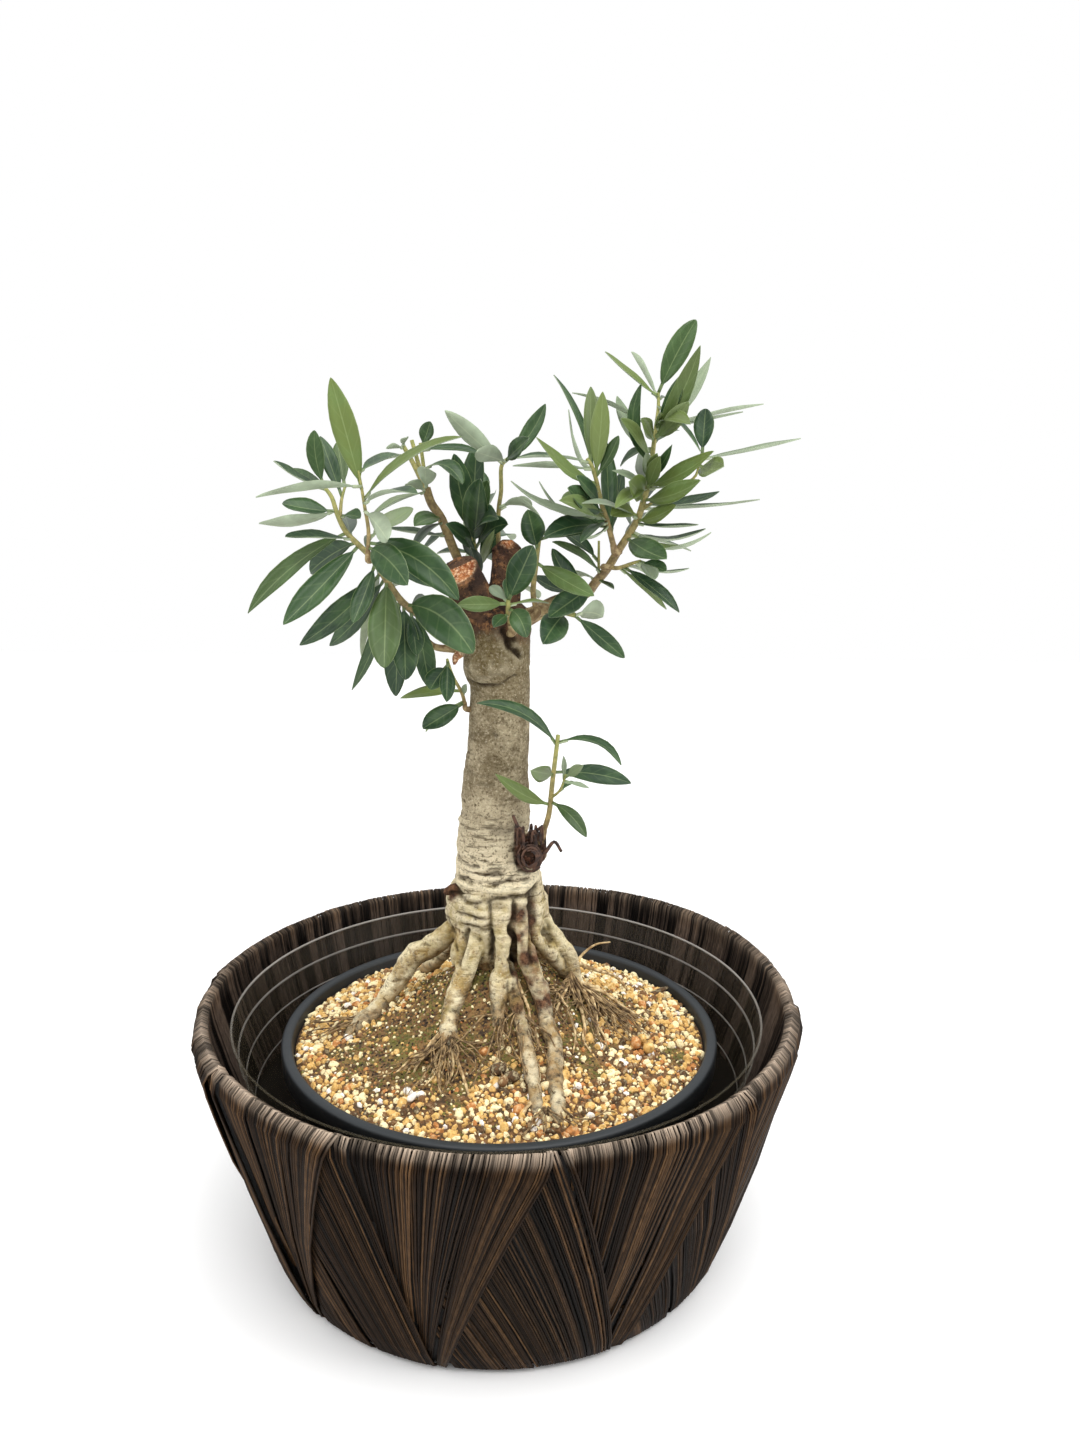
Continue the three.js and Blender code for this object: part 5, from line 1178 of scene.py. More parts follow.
class BONSAI_OT_grit(bpy.types.Operator):
    """Lays coarse and fine grit and crumbs of moss on the mound"""

    bl_idname = "bonsai.grit"
    bl_label = "Grit and moss"

    def execute(self, context):
        settings = context.scene.bonsai_soil
        vertices, faces, grit, moss, _ = mound_mesh()
        tree = grain_tree()
        stone, crumb = grit_material(settings), crumb_material(settings)
        bits, tones = [], []
        for x, y, length, radius, bearing, tone in LOOSE_BITS:
            angle = math.radians(bearing)
            way = np.array([math.cos(angle), math.sin(angle), 0.1]) * length / 2
            middle = np.array([x, y, float(mound_height(x, y)) + radius + 0.6])
            rows = tapered([middle + part * way for part in (-1, -0.6, 0.5, 1)], radius, radius)
            rows[[0, 3], 3] *= 0.45
            bits.append(tube(rows, 7))
            tones += [tone] * len(bits[-1][0])
        piece = make_object("loose_bits", *merged(bits), stone, values={"tone": tones})
        finished(piece, "grit", "soil")
        large, fine = settings.grain * 1.4, settings.fine_grain
        on_top = grit + moss > 0
        between = np.clip(grit + 0.25, 0, 1) * on_top
        bare = np.clip(1.25 - grit, 0, 1) * on_top
        # Share, grain size, spacing in grains, most grains a square metre, roughness, facets and seed.
        layers = {
            "grit_large": (0.7 * grit, large, 1.1, 90000, 1.3, 2, 4, stone),
            "grit_coarse": (grit, settings.grain, 0.74, 500000, 1.0, 1, 5, stone),
            "grit_fine": (between, fine, 1.05, 600000, 0.6, 1, 6, stone),
            "moss_crumbs": (bare, fine * 0.8, 0.95, 1500000, 0.6, 1, 7, crumb),
        }
        for name, (share, size, spacing, density, lumps, facets, seed, material) in layers.items():
            piece = make_object(name, vertices, faces, values={"share": share})
            apply_tree(piece, tree, {"Spacing": size * spacing, "Density": density, "Size": size,
                "Roughness": lumps * MM, "Facets": facets, "Seed": seed, "Material": material})
            finished(piece, "grit", "soil")
        return {"FINISHED"}


# ---- Trunk and roots ---------------------------------------------------------------------------

# Patches that are painted over the bark: the value that says where, and their dark and light shades.
# The dirt patch also carries the painted shade on the roots' undersides.
PATCHES = (("red", "#3d281e", "#7d5940"), ("moss", "#3f3f1f", "#6f6d35"), ("dirt_and_underside_shade", "#3d2c1a", "#94734a"))
BURR_CORE = ((-6.5, 2.5), (-4, 5), (0, 6.2), (4, 5), (6.5, 2.5))  # heights from its middle, and radii
BURR_KNOBS, BURR_REACH = 22, (5, 4.4, 6.4)
FOLD_SIZE, WRINKLE_SIZE, KNUCKLE_SIZE = (15, 15, 4.2), (8, 8, 2.2), (4.5, 4.5, 8)
# Swellings on the front, marked like the lines above.
BULGES = [((-9, 241), (2, 243), 5.0, 1.0)]
BROWS = [((-17, 153.5), (-2, 153), 2.0, 1.0), ((-2, 153.5), (14, 155.5), 2.0, 1.0)]
# Heights over which one kind of bark begins and is complete.
ROOTS_BELOW, ALL_ROOT_BELOW, CALLUS_ABOVE = (147, 134), (138, 127), (249, 256)
WRINKLED_BELOW, WRINKLED_ABOVE = (212, 165), (116, 128)
DIRT_BELOW, MOSS_BELOW = 134, (128, 108)
# The same for colours that the bark's material mixes by height, in metres.
OLIVE_ABOVE, CREAM_BELOW, LINED_BELOW = (0.222, 0.244), (0.195, 0.158), (0.215, 0.16)
COLLAR_ABOVE, COLLAR_BELOW, CREST_HIGHLIGHT_BELOW = (0.112, 0.126), (0.158, 0.147), (0.2, 0.15)
ROOT_REACH = 7.5  # how far from a root's middle line its colour goes
REDDISH_ROOT, WEATHERED_ROOTS = slice(3, 4), slice(3, 5)  # places in the list of roots
KNOB_PLACE = (-19, -8, 150.5)
EASING_ROUNDS = 14  # rounds of smoothing that tell proud crests, which get a painted highlight, from sunk places, which get painted shade


def bark_material(settings):
    # Living olive bark: grey-tan, finely granular, wrinkled across lower down and olive-brown at the top,
    # cream on the bare roots, reddish where cuts have healed, and dark and dry on the burr; painted shade
    # darkens its marks and sunk places, and a painted highlight lightens its crests.
    material, tree = new_material("Olive bark, roots and healed wood")
    even = stretched(tree)
    grains = noise_value(tree, even, 950.0, 3.0, 0.75)
    flakes = noise_value(tree, even, 420.0, 5.0, 0.65)
    wrinkles = noise_value(tree, stretched(tree, 0.3, 0.3, 1.7), 330.0, 5.0, 0.65)
    blotches = noise_value(tree, even, 90.0, 3.0)
    mottle = noise_value(tree, even, 230.0, 7.0, 0.7)
    height = coordinate(tree, "Z")
    high = times(tree, where(tree, height, *OLIVE_ABOVE), remapped(tree, flakes, 0.35, 0.6, 0.55, 1.0))
    wrinkled = times(tree, remapped(tree, height, *LINED_BELOW, 0.3, 0.9), where(tree, wrinkles, 0.47, 0.38))
    bark = layered(tree, settings.bark,
        ("#776a50", blotches, 0.4, 0.6),
        ("#efe0be", height, *CREAM_BELOW, 0.85),
        ("#6d5f3f", high),
        ("#d8ccb2", grains, 0.54, 0.68, 0.5),
        (settings.bark_dark, grains, 0.46, 0.34, 0.95),
        (settings.bark_dark, mottle, 0.44, 0.32, 0.85),
        ("#43361f", wrinkled))
    rooty = layered(tree, settings.root,
        ("#b89c66", blotches, 0.44, 0.6),
        ("#7c6238", wrinkles, 0.47, 0.37, 0.75),
        ("#8b6a3d", mottle, 0.47, 0.37, 0.75),
        ("#3f2d18", mottle, 0.39, 0.33, 0.85),
        ("#5f4727", flakes, 0.44, 0.36, 0.85),
        ("#fbf4d9", grains, 0.55, 0.72, 0.6))
    collar = times(tree, where(tree, height, *COLLAR_ABOVE), where(tree, height, *COLLAR_BELOW))
    mossy = times(tree, collar, remapped(tree, mottle, 0.42, 0.58, 0.1, 0.7))
    # Crests of the bark get a paler cream: a painted highlight.
    crest_highlight = times(tree, attribute(tree, "crest_highlight"), remapped(tree, height, *CREST_HIGHLIGHT_BELOW, 0.2, 0.36))
    colour = layered(tree, bark, (rooty, attribute(tree, "root")), ("#a5925a", mossy), ("#f0e6c6", crest_highlight))
    for name, dark, light in PATCHES:
        patch = layered(tree, dark, (light, flakes, 0.4, 0.6))
        colour = mixed(tree, attribute(tree, name), colour, patch)
    healed = layered(tree, "#3a2a22", (settings.callus, blotches, 0.42, 0.58),
        ("#a3734b", mottle, 0.53, 0.64, 0.8), ("#1f1410", flakes, 0.46, 0.34, 0.9))
    dry = layered(tree, "#20120c", (settings.burr, flakes, 0.4, 0.6), ("#94705a", grains, 0.55, 0.7, 0.6))
    sawn = layered(tree, "#7d3f22", (settings.cut, flakes, 0.42, 0.6), ("#efc8a2", grains, 0.5, 0.62, 0.9))
    # The last layer paints marks and sunk places dark: painted shade.
    colour = layered(tree, colour, (healed, attribute(tree, "callus")), (dry, attribute(tree, "burr")),
        (sawn, attribute(tree, "cut")), ("#2b1f12", times(tree, attribute(tree, "hollow_shade"), 0.9)))
    relief = computed(tree, "ADD", times(tree, grains, 0.5), flakes)
    relief = computed(tree, "ADD", relief, times(tree, wrinkles, 0.9))
    return surfaced(material, {"Base Color": colour, "Normal": bumped(tree, relief, 1.0, 1.3),
        "Roughness": 0.9, "Specular IOR Level": 0.25})


def tapered(points, first, last):
    points = np.asarray(points, float)
    return np.column_stack([points, np.linspace(first, last, len(points))])


def limb_lines(limbs, per_span):
    """Smooth lines through limbs that are given as two radii and points."""
    return [smooth_path(tapered(points, first, last), per_span) for first, last, points in limbs]


def nearest_share(points, lines, reach):
    """1 on any of the lines, falling to 0 at the given distance from them."""
    best = np.full(len(points), np.inf)
    for line in lines:
        for start, end in zip(line[:-1, :3], line[1:, :3]):
            best = np.minimum(best, line_distance(points, start, end))
    return 1 - smooth_step(0.6 * reach, reach, best)


def trunk_parts():
    """The rough bars that the trunk, its roots, its stumps, its knob and its burr are grown from."""
    random = random_from(5)
    parts = [tube(smooth_path(TRUNK, 5), 32)]
    for line in limb_lines(ROOTS, 5):
        line[:, 3] *= 1 + 0.14 * rough(line[:, :3], 7, 21)
        parts.append(tube(line, 16))
    for radius, points, _ in STUMPS:
        line = smooth_path(tapered(points, radius * 1.12, radius), 4)
        parts.append(tube(line, 20))
    parts += [tube(line, 10) for line in limb_lines((KNOB, BARK_FLAP), 3)]
    burr = np.array(BURR, float)
    core = [(*(burr + (0, 0, z)), r) for z, r in BURR_CORE]
    parts.append(tube(smooth_path(core, 3), 16))
    for _ in range(BURR_KNOBS):
        way = random.normal(0, 1, 3)
        place = burr + way / np.linalg.norm(way) * BURR_REACH
        parts.append(tube(tapered([place - way * 0.5, place + way * 0.5], 1.9, 1.4), 8))
    return parts


def bark_relief(points, root):
    """How far the bark stands out at each point, and how much painted shade its marks, cuts and pits get."""
    height = points[:, 2]
    on_trunk = 1 - root
    low = smooth_step(*WRINKLED_BELOW, height) * smooth_step(*WRINKLED_ABOVE, height)
    folds = ridges(points, FOLD_SIZE, 31)
    wrinkles = ridges(points + 40, WRINKLE_SIZE, 33)
    flakes = rough(points, 2.6, 35)
    lift = on_trunk * (0.6 * rough(points, 17, 30) + 0.3 * flakes)
    cut_in = 0.9 * smooth_step(0.55, 0.25, folds) + 0.7 * smooth_step(0.5, 0.2, wrinkles)
    cut_in = (0.2 + 0.8 * low) * cut_in * on_trunk
    lift += on_trunk * low * (1.3 * folds + 0.8 * wrinkles - 1.0)
    knuckles = ridges(points, KNUCKLE_SIZE, 43)
    lift += root * (0.9 * rough(points, (6, 6, 9), 39) + 0.4 * flakes + 0.5 * knuckles - 0.3)
    pits = root * smooth_step(0.42, 0.7, rough(points, 3.2, 45, 2))
    marked = [front_marks(points, marks) for marks in (GAPS, FOLDS, CREASES, CRACKS)]
    gaps, folded, creased, cracked = marked
    lift += 1.4 * front_marks(points, BULGES) + 1.3 * front_marks(points, BROWS)
    lift -= gaps + folded + creased + cracked + 0.7 * cut_in + 0.5 * pits
    # Gaps, folds, creases, cracks, cuts and pits are painted dark in proportion to their depth: painted
    # shade.
    hollow_shade = 0.45 * gaps + 0.6 * folded + 0.75 * creased + 0.8 * cracked + 0.6 * cut_in + 0.7 * pits
    return lift, np.clip(hollow_shade, 0, 1)


def grow_together(piece, spacing):
    """Joins the piece's bars into one even mesh. Returns it, its points in millimetres and its normals."""
    remesh = piece.modifiers.new("grow together", "REMESH")
    remesh.mode = "VOXEL"
    remesh.voxel_size = spacing
    remesh.use_smooth_shade = True
    ease = piece.modifiers.new("ease", "SMOOTH")
    ease.factor = 0.5
    ease.iterations = 4
    depsgraph = bpy.context.evaluated_depsgraph_get()
    mesh = bpy.data.meshes.new_from_object(piece.evaluated_get(depsgraph), depsgraph=depsgraph)
    piece.modifiers.clear()
    piece.data = mesh
    points, normals = np.empty(len(mesh.vertices) * 3), np.empty(len(mesh.vertices) * 3)
    mesh.vertices.foreach_get("co", points)
    mesh.vertex_normals.foreach_get("vector", normals)
    return mesh, points.reshape(-1, 3) / MM, normals.reshape(-1, 3)


def near_place(points, place, inner, outer):
    """1 within the inner distance of a place, falling to 0 at the outer one."""
    return 1 - smooth_step(inner, outer, np.linalg.norm(points - place, axis=1))


def saw_stumps(points, lift, burr, cut):
    """Flattens the ends of the stumps in place, and paints their faces: returns the burr and cut values."""
    for radius, line, facing in STUMPS:
        way = np.array(facing) / np.linalg.norm(facing)
        beyond = (points - line[-1]) @ way
        near = np.linalg.norm(points - line[-1], axis=1) < 1.6 * radius
        over = near & (beyond > 0)
        points[over] -= np.outer(beyond[over], way)
        rim = np.linalg.norm(points - line[-1], axis=1) / radius
        face = 1 - smooth_step(0.8, 1.0, rim)
        if facing[0] > 0:  # the stump on the right is rounded off and weathered dark
            edge = smooth_step(0.3, 1.05, rim) * near * (points[:, 2] > line[-1][2] - 0.5 * radius)
            points[:, 2] -= 0.45 * radius * edge
            burr = np.maximum(burr, 0.6 * near * (cut < 0.1))
            face = 1 - smooth_step(0.25, 0.6, rim)
        cut = np.maximum(cut, over * face)
        lift[over] = 0.6 * rough(points[over], 2.4, 57)
    return burr, cut


def soiled_and_shaded(points, normals, root, lines):
    """How much dirt lies on the roots at each point, with painted shade on their undersides."""
    above = points[:, 2] - mound_height(points[:, 0], points[:, 1])
    dirt_and_underside_shade = 0.75 * root * smooth_step(8, 1, above + 3 * rough(points, 5, 63)) * (points[:, 2] < DIRT_BELOW)
    weathered = nearest_share(points, lines[WEATHERED_ROOTS], 6.5) * smooth_step(114, 102, points[:, 2])
    dirt_and_underside_shade = np.maximum(dirt_and_underside_shade, weathered * np.clip(0.42 + 0.9 * rough(points, (5, 5, 8), 65), 0, 0.85))
    # Roots' undersides, facing down, are painted darker with the dirt colours: painted shade.
    return np.maximum(dirt_and_underside_shade, root * smooth_step(-0.15, -0.75, normals[:, 2]) * 0.7)


def reddened(points, lines):
    """How red-brown the bark is at each point: on one root at the front, and on the knob."""
    x, y, z = points.T
    strip = smooth_step(5.8, 6.8, x) * smooth_step(15.5, 14, x) * (y < -6) * smooth_step(150, 146, z)
    on_root = nearest_share(points, lines[REDDISH_ROOT], ROOT_REACH) * smooth_step(149, 145, z)
    strip = np.maximum(strip, on_root) * smooth_step(103, 110, z)
    knob = near_place(points, KNOB_PLACE, 3.0, 6.0)
    return np.clip(strip * (0.75 + 1.5 * rough(points, 4, 59)) + knob, 0, 1)


class BONSAI_OT_trunk(bpy.types.Operator):
    """Grows the trunk, its bare roots, its stumps and its burr as one fissured mesh"""

    bl_idname = "bonsai.trunk"
    bl_label = "Trunk and roots"

    def execute(self, context):
        settings = context.scene.bonsai_tree
        piece = make_object("trunk_and_roots", *merged(trunk_parts()))
        mesh, points, normals = grow_together(piece, settings.detail)
        lines = limb_lines(ROOTS, 3)
        away = np.hypot(points[:, 0], points[:, 1])
        root = nearest_share(points, lines, ROOT_REACH) * smooth_step(*ROOTS_BELOW, points[:, 2])
        root = np.maximum(root, smooth_step(*ALL_ROOT_BELOW, points[:, 2]))
        lift, hollow_shade = bark_relief(points, root)
        crumbled = rough(points, 2.6, 51)
        burr = 1 - smooth_step(7.0, 8.6, np.linalg.norm((points - BURR) / (1, 1, 1.25), axis=1))
        burr *= smooth_step(-7, -9.5, points[:, 1]) * smooth_step(4.5, 7.5, points[:, 0])
        lift = lift * (1 - burr) + burr * 1.2 * crumbled
        # The burr's crumbly sunk places are painted dark: painted shade.
        hollow_shade = np.maximum(hollow_shade * (1 - burr), burr * smooth_step(0.0, -0.5, crumbled))
        _, flap_middle, flap_end = BARK_FLAP[2]
        flap = np.maximum(near_place(points, flap_middle, 1.8, 3.4), near_place(points, flap_end, 1.8, 3.0))
        callus = smooth_step(*CALLUS_ABOVE, points[:, 2] + 4 * rough(points, 9, 53)) * (points[:, 1] < 8)
        burr, cut = saw_stumps(points, lift, burr, 0.8 * flap)
        dirt_and_underside_shade, red = soiled_and_shaded(points, normals, root, lines), reddened(points, lines)
        moss = smooth_step(0.15, 0.5, rough(points, 9, 61)) * smooth_step(*MOSS_BELOW, points[:, 2]) * 0.7
        points += normals * lift[:, None]
        # Vertices that stand proud of the smoothed shape around them get a painted highlight, and sunk ones
        # painted shade.
        proud = standing_out(mesh, points, normals, EASING_ROUNDS)
        hollow_shade = np.maximum(hollow_shade, 0.85 * smooth_step(-0.08, -0.5, proud) * (1 - burr))
        mesh.vertices.foreach_set("co", (points * MM).ravel())
        add_values(mesh, {"root": root, "callus": callus * (1 - cut), "burr": burr, "cut": cut, "red": red,
            "moss": moss * smooth_step(20, 26, away), "dirt_and_underside_shade": dirt_and_underside_shade, "hollow_shade": hollow_shade,
            "crest_highlight": smooth_step(0.1, 0.55, proud)})
        mesh.materials.append(bark_material(settings))
        mesh.update()
        finished(piece, "bark", "trunk")
        return {"FINISHED"}


def woody_material(name, light, dark, roughness):
    # Thin dry wood: streaked along its length, with darker rings and a dull skin.
    material, tree = new_material(name)
    streaks = noise_value(tree, stretched(tree), 420.0, 5.0)
    return surfaced(material, {"Base Color": layered(tree, dark, (light, streaks, 0.4, 0.62)),
        "Normal": bumped(tree, streaks, 0.5, 0.4), "Roughness": roughness})


def rootlet_lines():
    """Rootlets that run out over the mound."""
    lines = [smooth_path(tapered(points, 1.05, 0.4), 6) for points in ROOTLETS]
    for points in LOOSE_ROOTS:
        x, y, z = np.array(points, float).T
        on_top = np.maximum(z, mound_height(x, y) + 1.2)
        lines.append(smooth_path(tapered(np.column_stack([x, y, on_top]), 0.75, 0.32), 6))
    return lines


HAIR_STEP, HAIR_STEPS = 3.2, (5, 13)
HAIR_RADIUS, HAIR_THINNING = 0.36, 0.018


def root_hair_lines():
    """Fans of fine roots that spread over the mound."""
    random = random_from(9)
    lines = []
    for start, bearing, spread, count in ROOTLET_FANS:
        for _ in range(count):
            heading = math.radians(bearing + random.normal(0, 0.55) * spread)
            x, y, z = start
            rows = [(x, y, z, 0.38)]
            for step in range(int(random.integers(*HAIR_STEPS))):
                heading += random.normal(0, 0.3)
                x, y = x + HAIR_STEP * math.cos(heading), y + HAIR_STEP * math.sin(heading)
                if math.hypot(x - POT_CENTRE[0], y - POT_CENTRE[1]) > SOIL_RADIUS - 3:
                    break
                lying = float(mound_height(x, y)) + 2.6 + random.normal(0, 0.8)
                z += (lying - z) * 0.5
                rows.append((x, y, z, HAIR_RADIUS - HAIR_THINNING * step))
            if len(rows) > 2:
                lines.append(smooth_path(rows, 2))
    return lines


class BONSAI_OT_rootlets(bpy.types.Operator):
    """Trails fine rootlets from the roots over the mound"""

    bl_idname = "bonsai.rootlets"
    bl_label = "Rootlets"

    def execute(self, context):
        pale = woody_material("Pale rootlets", "#dcc393", "#8e6f45", 0.8)
        add_strands("rootlets", rootlet_lines(), ROOTLET_SIDES, pale, "bark", "trunk")
        dull = woody_material("Fine root hairs", "#9c8158", "#4c381f", 0.8)
        add_strands("root_hairs", root_hair_lines(), ROOTLET_SIDES, dull, "bark", "trunk")
        return {"FINISHED"}


LOOP_COUNT, COIL_COUNT, COIL_POINTS = 13, 12, 8
BURR_FACE = 6.6  # radius of the burr's face, which the coils lie on
STUB_LENGTH = 3  # how far a shoot's stub reaches back from the shoot


def burr_lines():
    """Dry loops that stand out of the burr, and coils that lie on its face."""
    random = random_from(13)
    centre = np.array(BURR, float)
    lines = []
    for _ in range(LOOP_COUNT):
        foot = centre + (random.uniform(-5.5, 4), random.uniform(-5.5, -2.5), random.uniform(2, 6))
        wide, high = random.normal(0, 2.4), random.uniform(3, 9)
        bends = [(0, 0, 0), (wide * 0.2, -0.8, high * 0.7), (wide * 0.7, -1.2, high),
            (wide * 1.1, -0.6, high * 0.75), (wide * 1.2, 0.4, high * random.uniform(-0.1, 0.6))]
        lines.append(smooth_path(tapered(foot + np.array(bends), 0.62, 0.4), 5))
    for _ in range(COIL_COUNT):
        turn = math.radians(random.uniform(0, 360)) + np.linspace(0, random.uniform(2, 4.5), COIL_POINTS)
        wide = random.uniform(1.6, 5.2)
        swell = BURR_FACE * math.sqrt(1 - (wide / BURR_FACE) ** 2)
        rows = np.column_stack([centre[0] + wide * np.cos(turn),
            np.full(COIL_POINTS, centre[1] - swell - 0.5), centre[2] - 1 + 1.25 * wide * np.sin(turn)])
        lines.append(tapered(rows, 0.42, 0.36))
    return lines


def stub_lines():
    """The stubs that the shoots grow from."""
    lines = []
    for spray in SPRAYS.values():
        radius, _, points = spray["stems"][0]
        start, onward = np.array(points[:2], float)
        along = unit(onward - start)
        collar = np.array(spray["collar"], float)
        points = [collar, start - STUB_LENGTH * along, start + 0.5 * along]
        lines.append(smooth_path(tapered(points, radius * 1.7, radius * 1.12), 5))
    return lines


class BONSAI_OT_twigs(bpy.types.Operator):
    """Adds dead twigs, the burr's dry loops and the stubs that the shoots grow from"""

    bl_idname = "bonsai.twigs"
    bl_label = "Twigs, loops and stubs"

    def execute(self, context):
        twigs = limb_lines(DEAD_TWIGS, 5)
        dry = woody_material("Dry dead twig", "#5a3d2d", "#21130d", 0.7)
        add_strands("dry_loops", twigs[1:] + burr_lines(), ROOTLET_SIDES, dry, "bark", "trunk")
        green = woody_material("Young olive wood", "#a8946c", "#6c5535", 0.75)
        add_strands("shoot_stubs", twigs[:1] + stub_lines(), STUB_SIDES, green, "bark", "trunk")
        return {"FINISHED"}


# ---- Leafy shoots ------------------------------------------------------------------------------

TONE_COUNT = 4
OLIVE_TONE = 2
SHADY_SHOOTS = ("right_spray", "right_inner_spray", "right_under_spray", "right_low_spray")
SHADY_SHARE = 0.55  # how much darker the olive-toned leaves of those shoots are
LEAF_ROWS, LEAF_COLUMNS = 13, 5
LEAF_FOLD, LEAF_WAVE = 0.36, 0.09  # shares of half the width
LEAF_TWIST = 14  # degrees, at most
PETIOLE = 3.2  # length of a leaf's stalk
PETIOLE_RADIUS, TIP_RADIUS = 0.62, 0.12
BROADEST, SLIMMEST = 0.33, 0.16  # width as a share of length, of leaves with blunt and with pointed tips
VEINS, VEIN_SLANT = 34.0, 7.0  # how closely the side veins lie, and how far they run forward
TONE_JITTER = 0.36


def leaf_material(settings):
    # Leathery olive leaf: a waxy dark upper face with a sunk pale midrib, and a downy grey-green underside.
    material, tree = new_material("Olive leaf, waxy above and downy below")
    tones = (settings.dark, settings.mid, settings.olive, settings.pale)
    upper = colour_ramp(tree, attribute(tree, "tone"),
        [((i + 0.5) / TONE_COUNT, colour) for i, colour in enumerate(tones)])
    blotches = noise_value(tree, stretched(tree), 95.0)
    across, side = attribute(tree, "across"), attribute(tree, "side")
    along = times(tree, attribute(tree, "along"), VEINS)
    forward = computed(tree, "SUBTRACT", along, times(tree, across, VEIN_SLANT))
    veins = where(tree, computed(tree, "SINE", forward), 0.85, 1.0, 0.07)
    rib = where(tree, across, 0.07, 0.01, 0.35)
    upper = layered(tree, upper, ("#1a2f1f", attribute(tree, "shade"), 0.0, 1.0, 0.42),
        ("#5f7d4a", blotches, 0.46, 0.7, 0.32), (settings.rib, veins),
        (settings.rib, across, 0.93, 1.0, 0.55), (settings.rib, rib))
    lower = layered(tree, settings.underside, ("#a7b69a", blotches, 0.4, 0.7),
        ("#c3cba4", computed(tree, "ADD", rib, times(tree, veins, 0.6))))
    return surfaced(material, {"Base Color": mixed(tree, side, upper, lower),
        "Roughness": remapped(tree, side, 0.0, 1.0, 0.38, 0.7),
        "Normal": bumped(tree, computed(tree, "ADD", rib, veins), -0.35, 0.2), "Specular IOR Level": 0.32})


def stem_material(settings):
    # Olive shoots: tan bark with pale pores lower down, green and ribbed at the growing tip.
    material, tree = new_material("Olive shoot bark, green at the tip")
    streaks = noise_value(tree, stretched(tree), 520.0, 4.0)
    old = layered(tree, "#6e5a3a", (settings.stem_old, streaks, 0.4, 0.65))
    young = layered(tree, "#7f8747", (settings.stem_young, streaks, 0.35, 0.65))
    return surfaced(material, {"Base Color": mixed(tree, attribute(tree, "young"), old, young),
        "Normal": bumped(tree, streaks, 0.4, 0.25), "Roughness": 0.6})


def unit(vector):
    return vector / np.linalg.norm(vector)


def along_line(points, place):
    """The point at a place counted in the line's points."""
    points = np.asarray(points, float)
    start = min(int(place), len(points) - 2)
    return points[start] + (points[start + 1] - points[start]) * (place - start)


def shell_faces(count, wide):
    """Faces of a thin shell of count rows: its upper side, its underside and its edges."""
    under = count * wide
    faces = []
    for r in range(count - 1):
        for c in range(wide - 1):
            a = r * wide + c
            faces.append((a, a + 1, a + 1 + wide, a + wide))
            faces.append((under + a, under + a + wide, under + a + 1 + wide, under + a + 1))
        a, b = r * wide, r * wide + wide - 1
        faces.append((a, a + wide, under + a + wide, under + a))
        faces.append((b, under + b, under + b + wide, b + wide))
    for c in range(wide - 1):
        last = (count - 1) * wide + c
        faces.append((c, under + c, under + c + 1, c + 1))
        faces.append((last, last + 1, under + last + 1, under + last))
    return faces


def leaf_face(chord, turn):
    """Which way a leaf along the chord faces, turned from the front towards facing up."""
    front = unit(np.array([0, -1.0, 0]) + chord * chord[1])
    up = np.cross(chord, front)
    up = -up if up[2] < 0 else up
    return front * math.cos(math.radians(turn)) + up * math.sin(math.radians(turn))


def half_width(share, blade, width, blunt):
    """Half a leaf's width at a share of its length, which is a share of its blade too."""
    filled = math.sin(math.pi * blade ** (0.96 + 0.22 * blunt)) if 0 < blade < 1 else 0
    half = width / 2 * filled ** (0.78 - 0.26 * blunt) * (1 - 0.12 * blade ** 6)
    return max(half, PETIOLE_RADIUS if share < 0.5 else TIP_RADIUS)


def leaf_shell(base, tip, width, turn, arch, thickness, twist):
    """One leaf as a closed thin shell, with its place along and across and its side at each vertex."""
    chord = tip - base
    length = np.linalg.norm(chord)
    chord /= length
    rise = unit(np.array([0, 0, 1.0]) - chord * chord[2])
    middle = (base + tip) / 2 + rise * 2 * arch * length
    face = leaf_face(chord, turn)
    stalk = min(PETIOLE / length, 0.2)
    blunt = min(max((width / length - SLIMMEST) / (BROADEST - SLIMMEST), 0), 1)
    spread = (1 - np.cos(np.linspace(0, np.pi, LEAF_ROWS))) / 2
    stations = np.linspace(-1, 1, LEAF_COLUMNS)
    rows, spans = [], []
    for share in np.concatenate([[0, stalk * 0.6], stalk + (1 - stalk) * spread]):
        centre = (1 - share) ** 2 * base + 2 * share * (1 - share) * middle + share ** 2 * tip
        along = unit((1 - share) * (middle - base) + share * (tip - middle))
        blade = np.clip((share - stalk) / (1 - stalk), 0, 1)
        half = half_width(share, blade, width, blunt)
        lean = math.radians(twist * (blade - 0.5))
        flat = unit(face - along * (face @ along))
        wide = np.cross(flat, along)
        normal = flat * math.cos(lean) + wide * math.sin(lean)
        across = wide * math.cos(lean) - flat * math.sin(lean)
        fold = LEAF_FOLD * half * np.abs(stations) ** 1.3
        wave = LEAF_WAVE * half * np.sin(8 * blade + twist + 2.4 * np.sign(stations)) * np.abs(stations)
        rows.append(centre + np.outer(stations * half, across) + np.outer(fold + wave, normal))
        spans.append((blade, normal))
    vertices, values = [], {"along": [], "across": [], "side": []}
    for side in (0, 1):
        for (blade, normal), row in zip(spans, rows):
            deep, reach = thickness * (0.35 + 0.65 * (1 - stations ** 2)), np.abs(stations)
            if blade <= 0:
                deep, reach = np.full(LEAF_COLUMNS, PETIOLE_RADIUS * 1.5), np.zeros(LEAF_COLUMNS)
            vertices.append(row - side * np.outer(deep * (1 - stations ** 2 * 0.6), normal))
            values["along"] += [blade] * LEAF_COLUMNS
            values["across"] += list(reach)
            values["side"] += [side] * LEAF_COLUMNS
    return np.vstack(vertices), shell_faces(len(rows), LEAF_COLUMNS), values


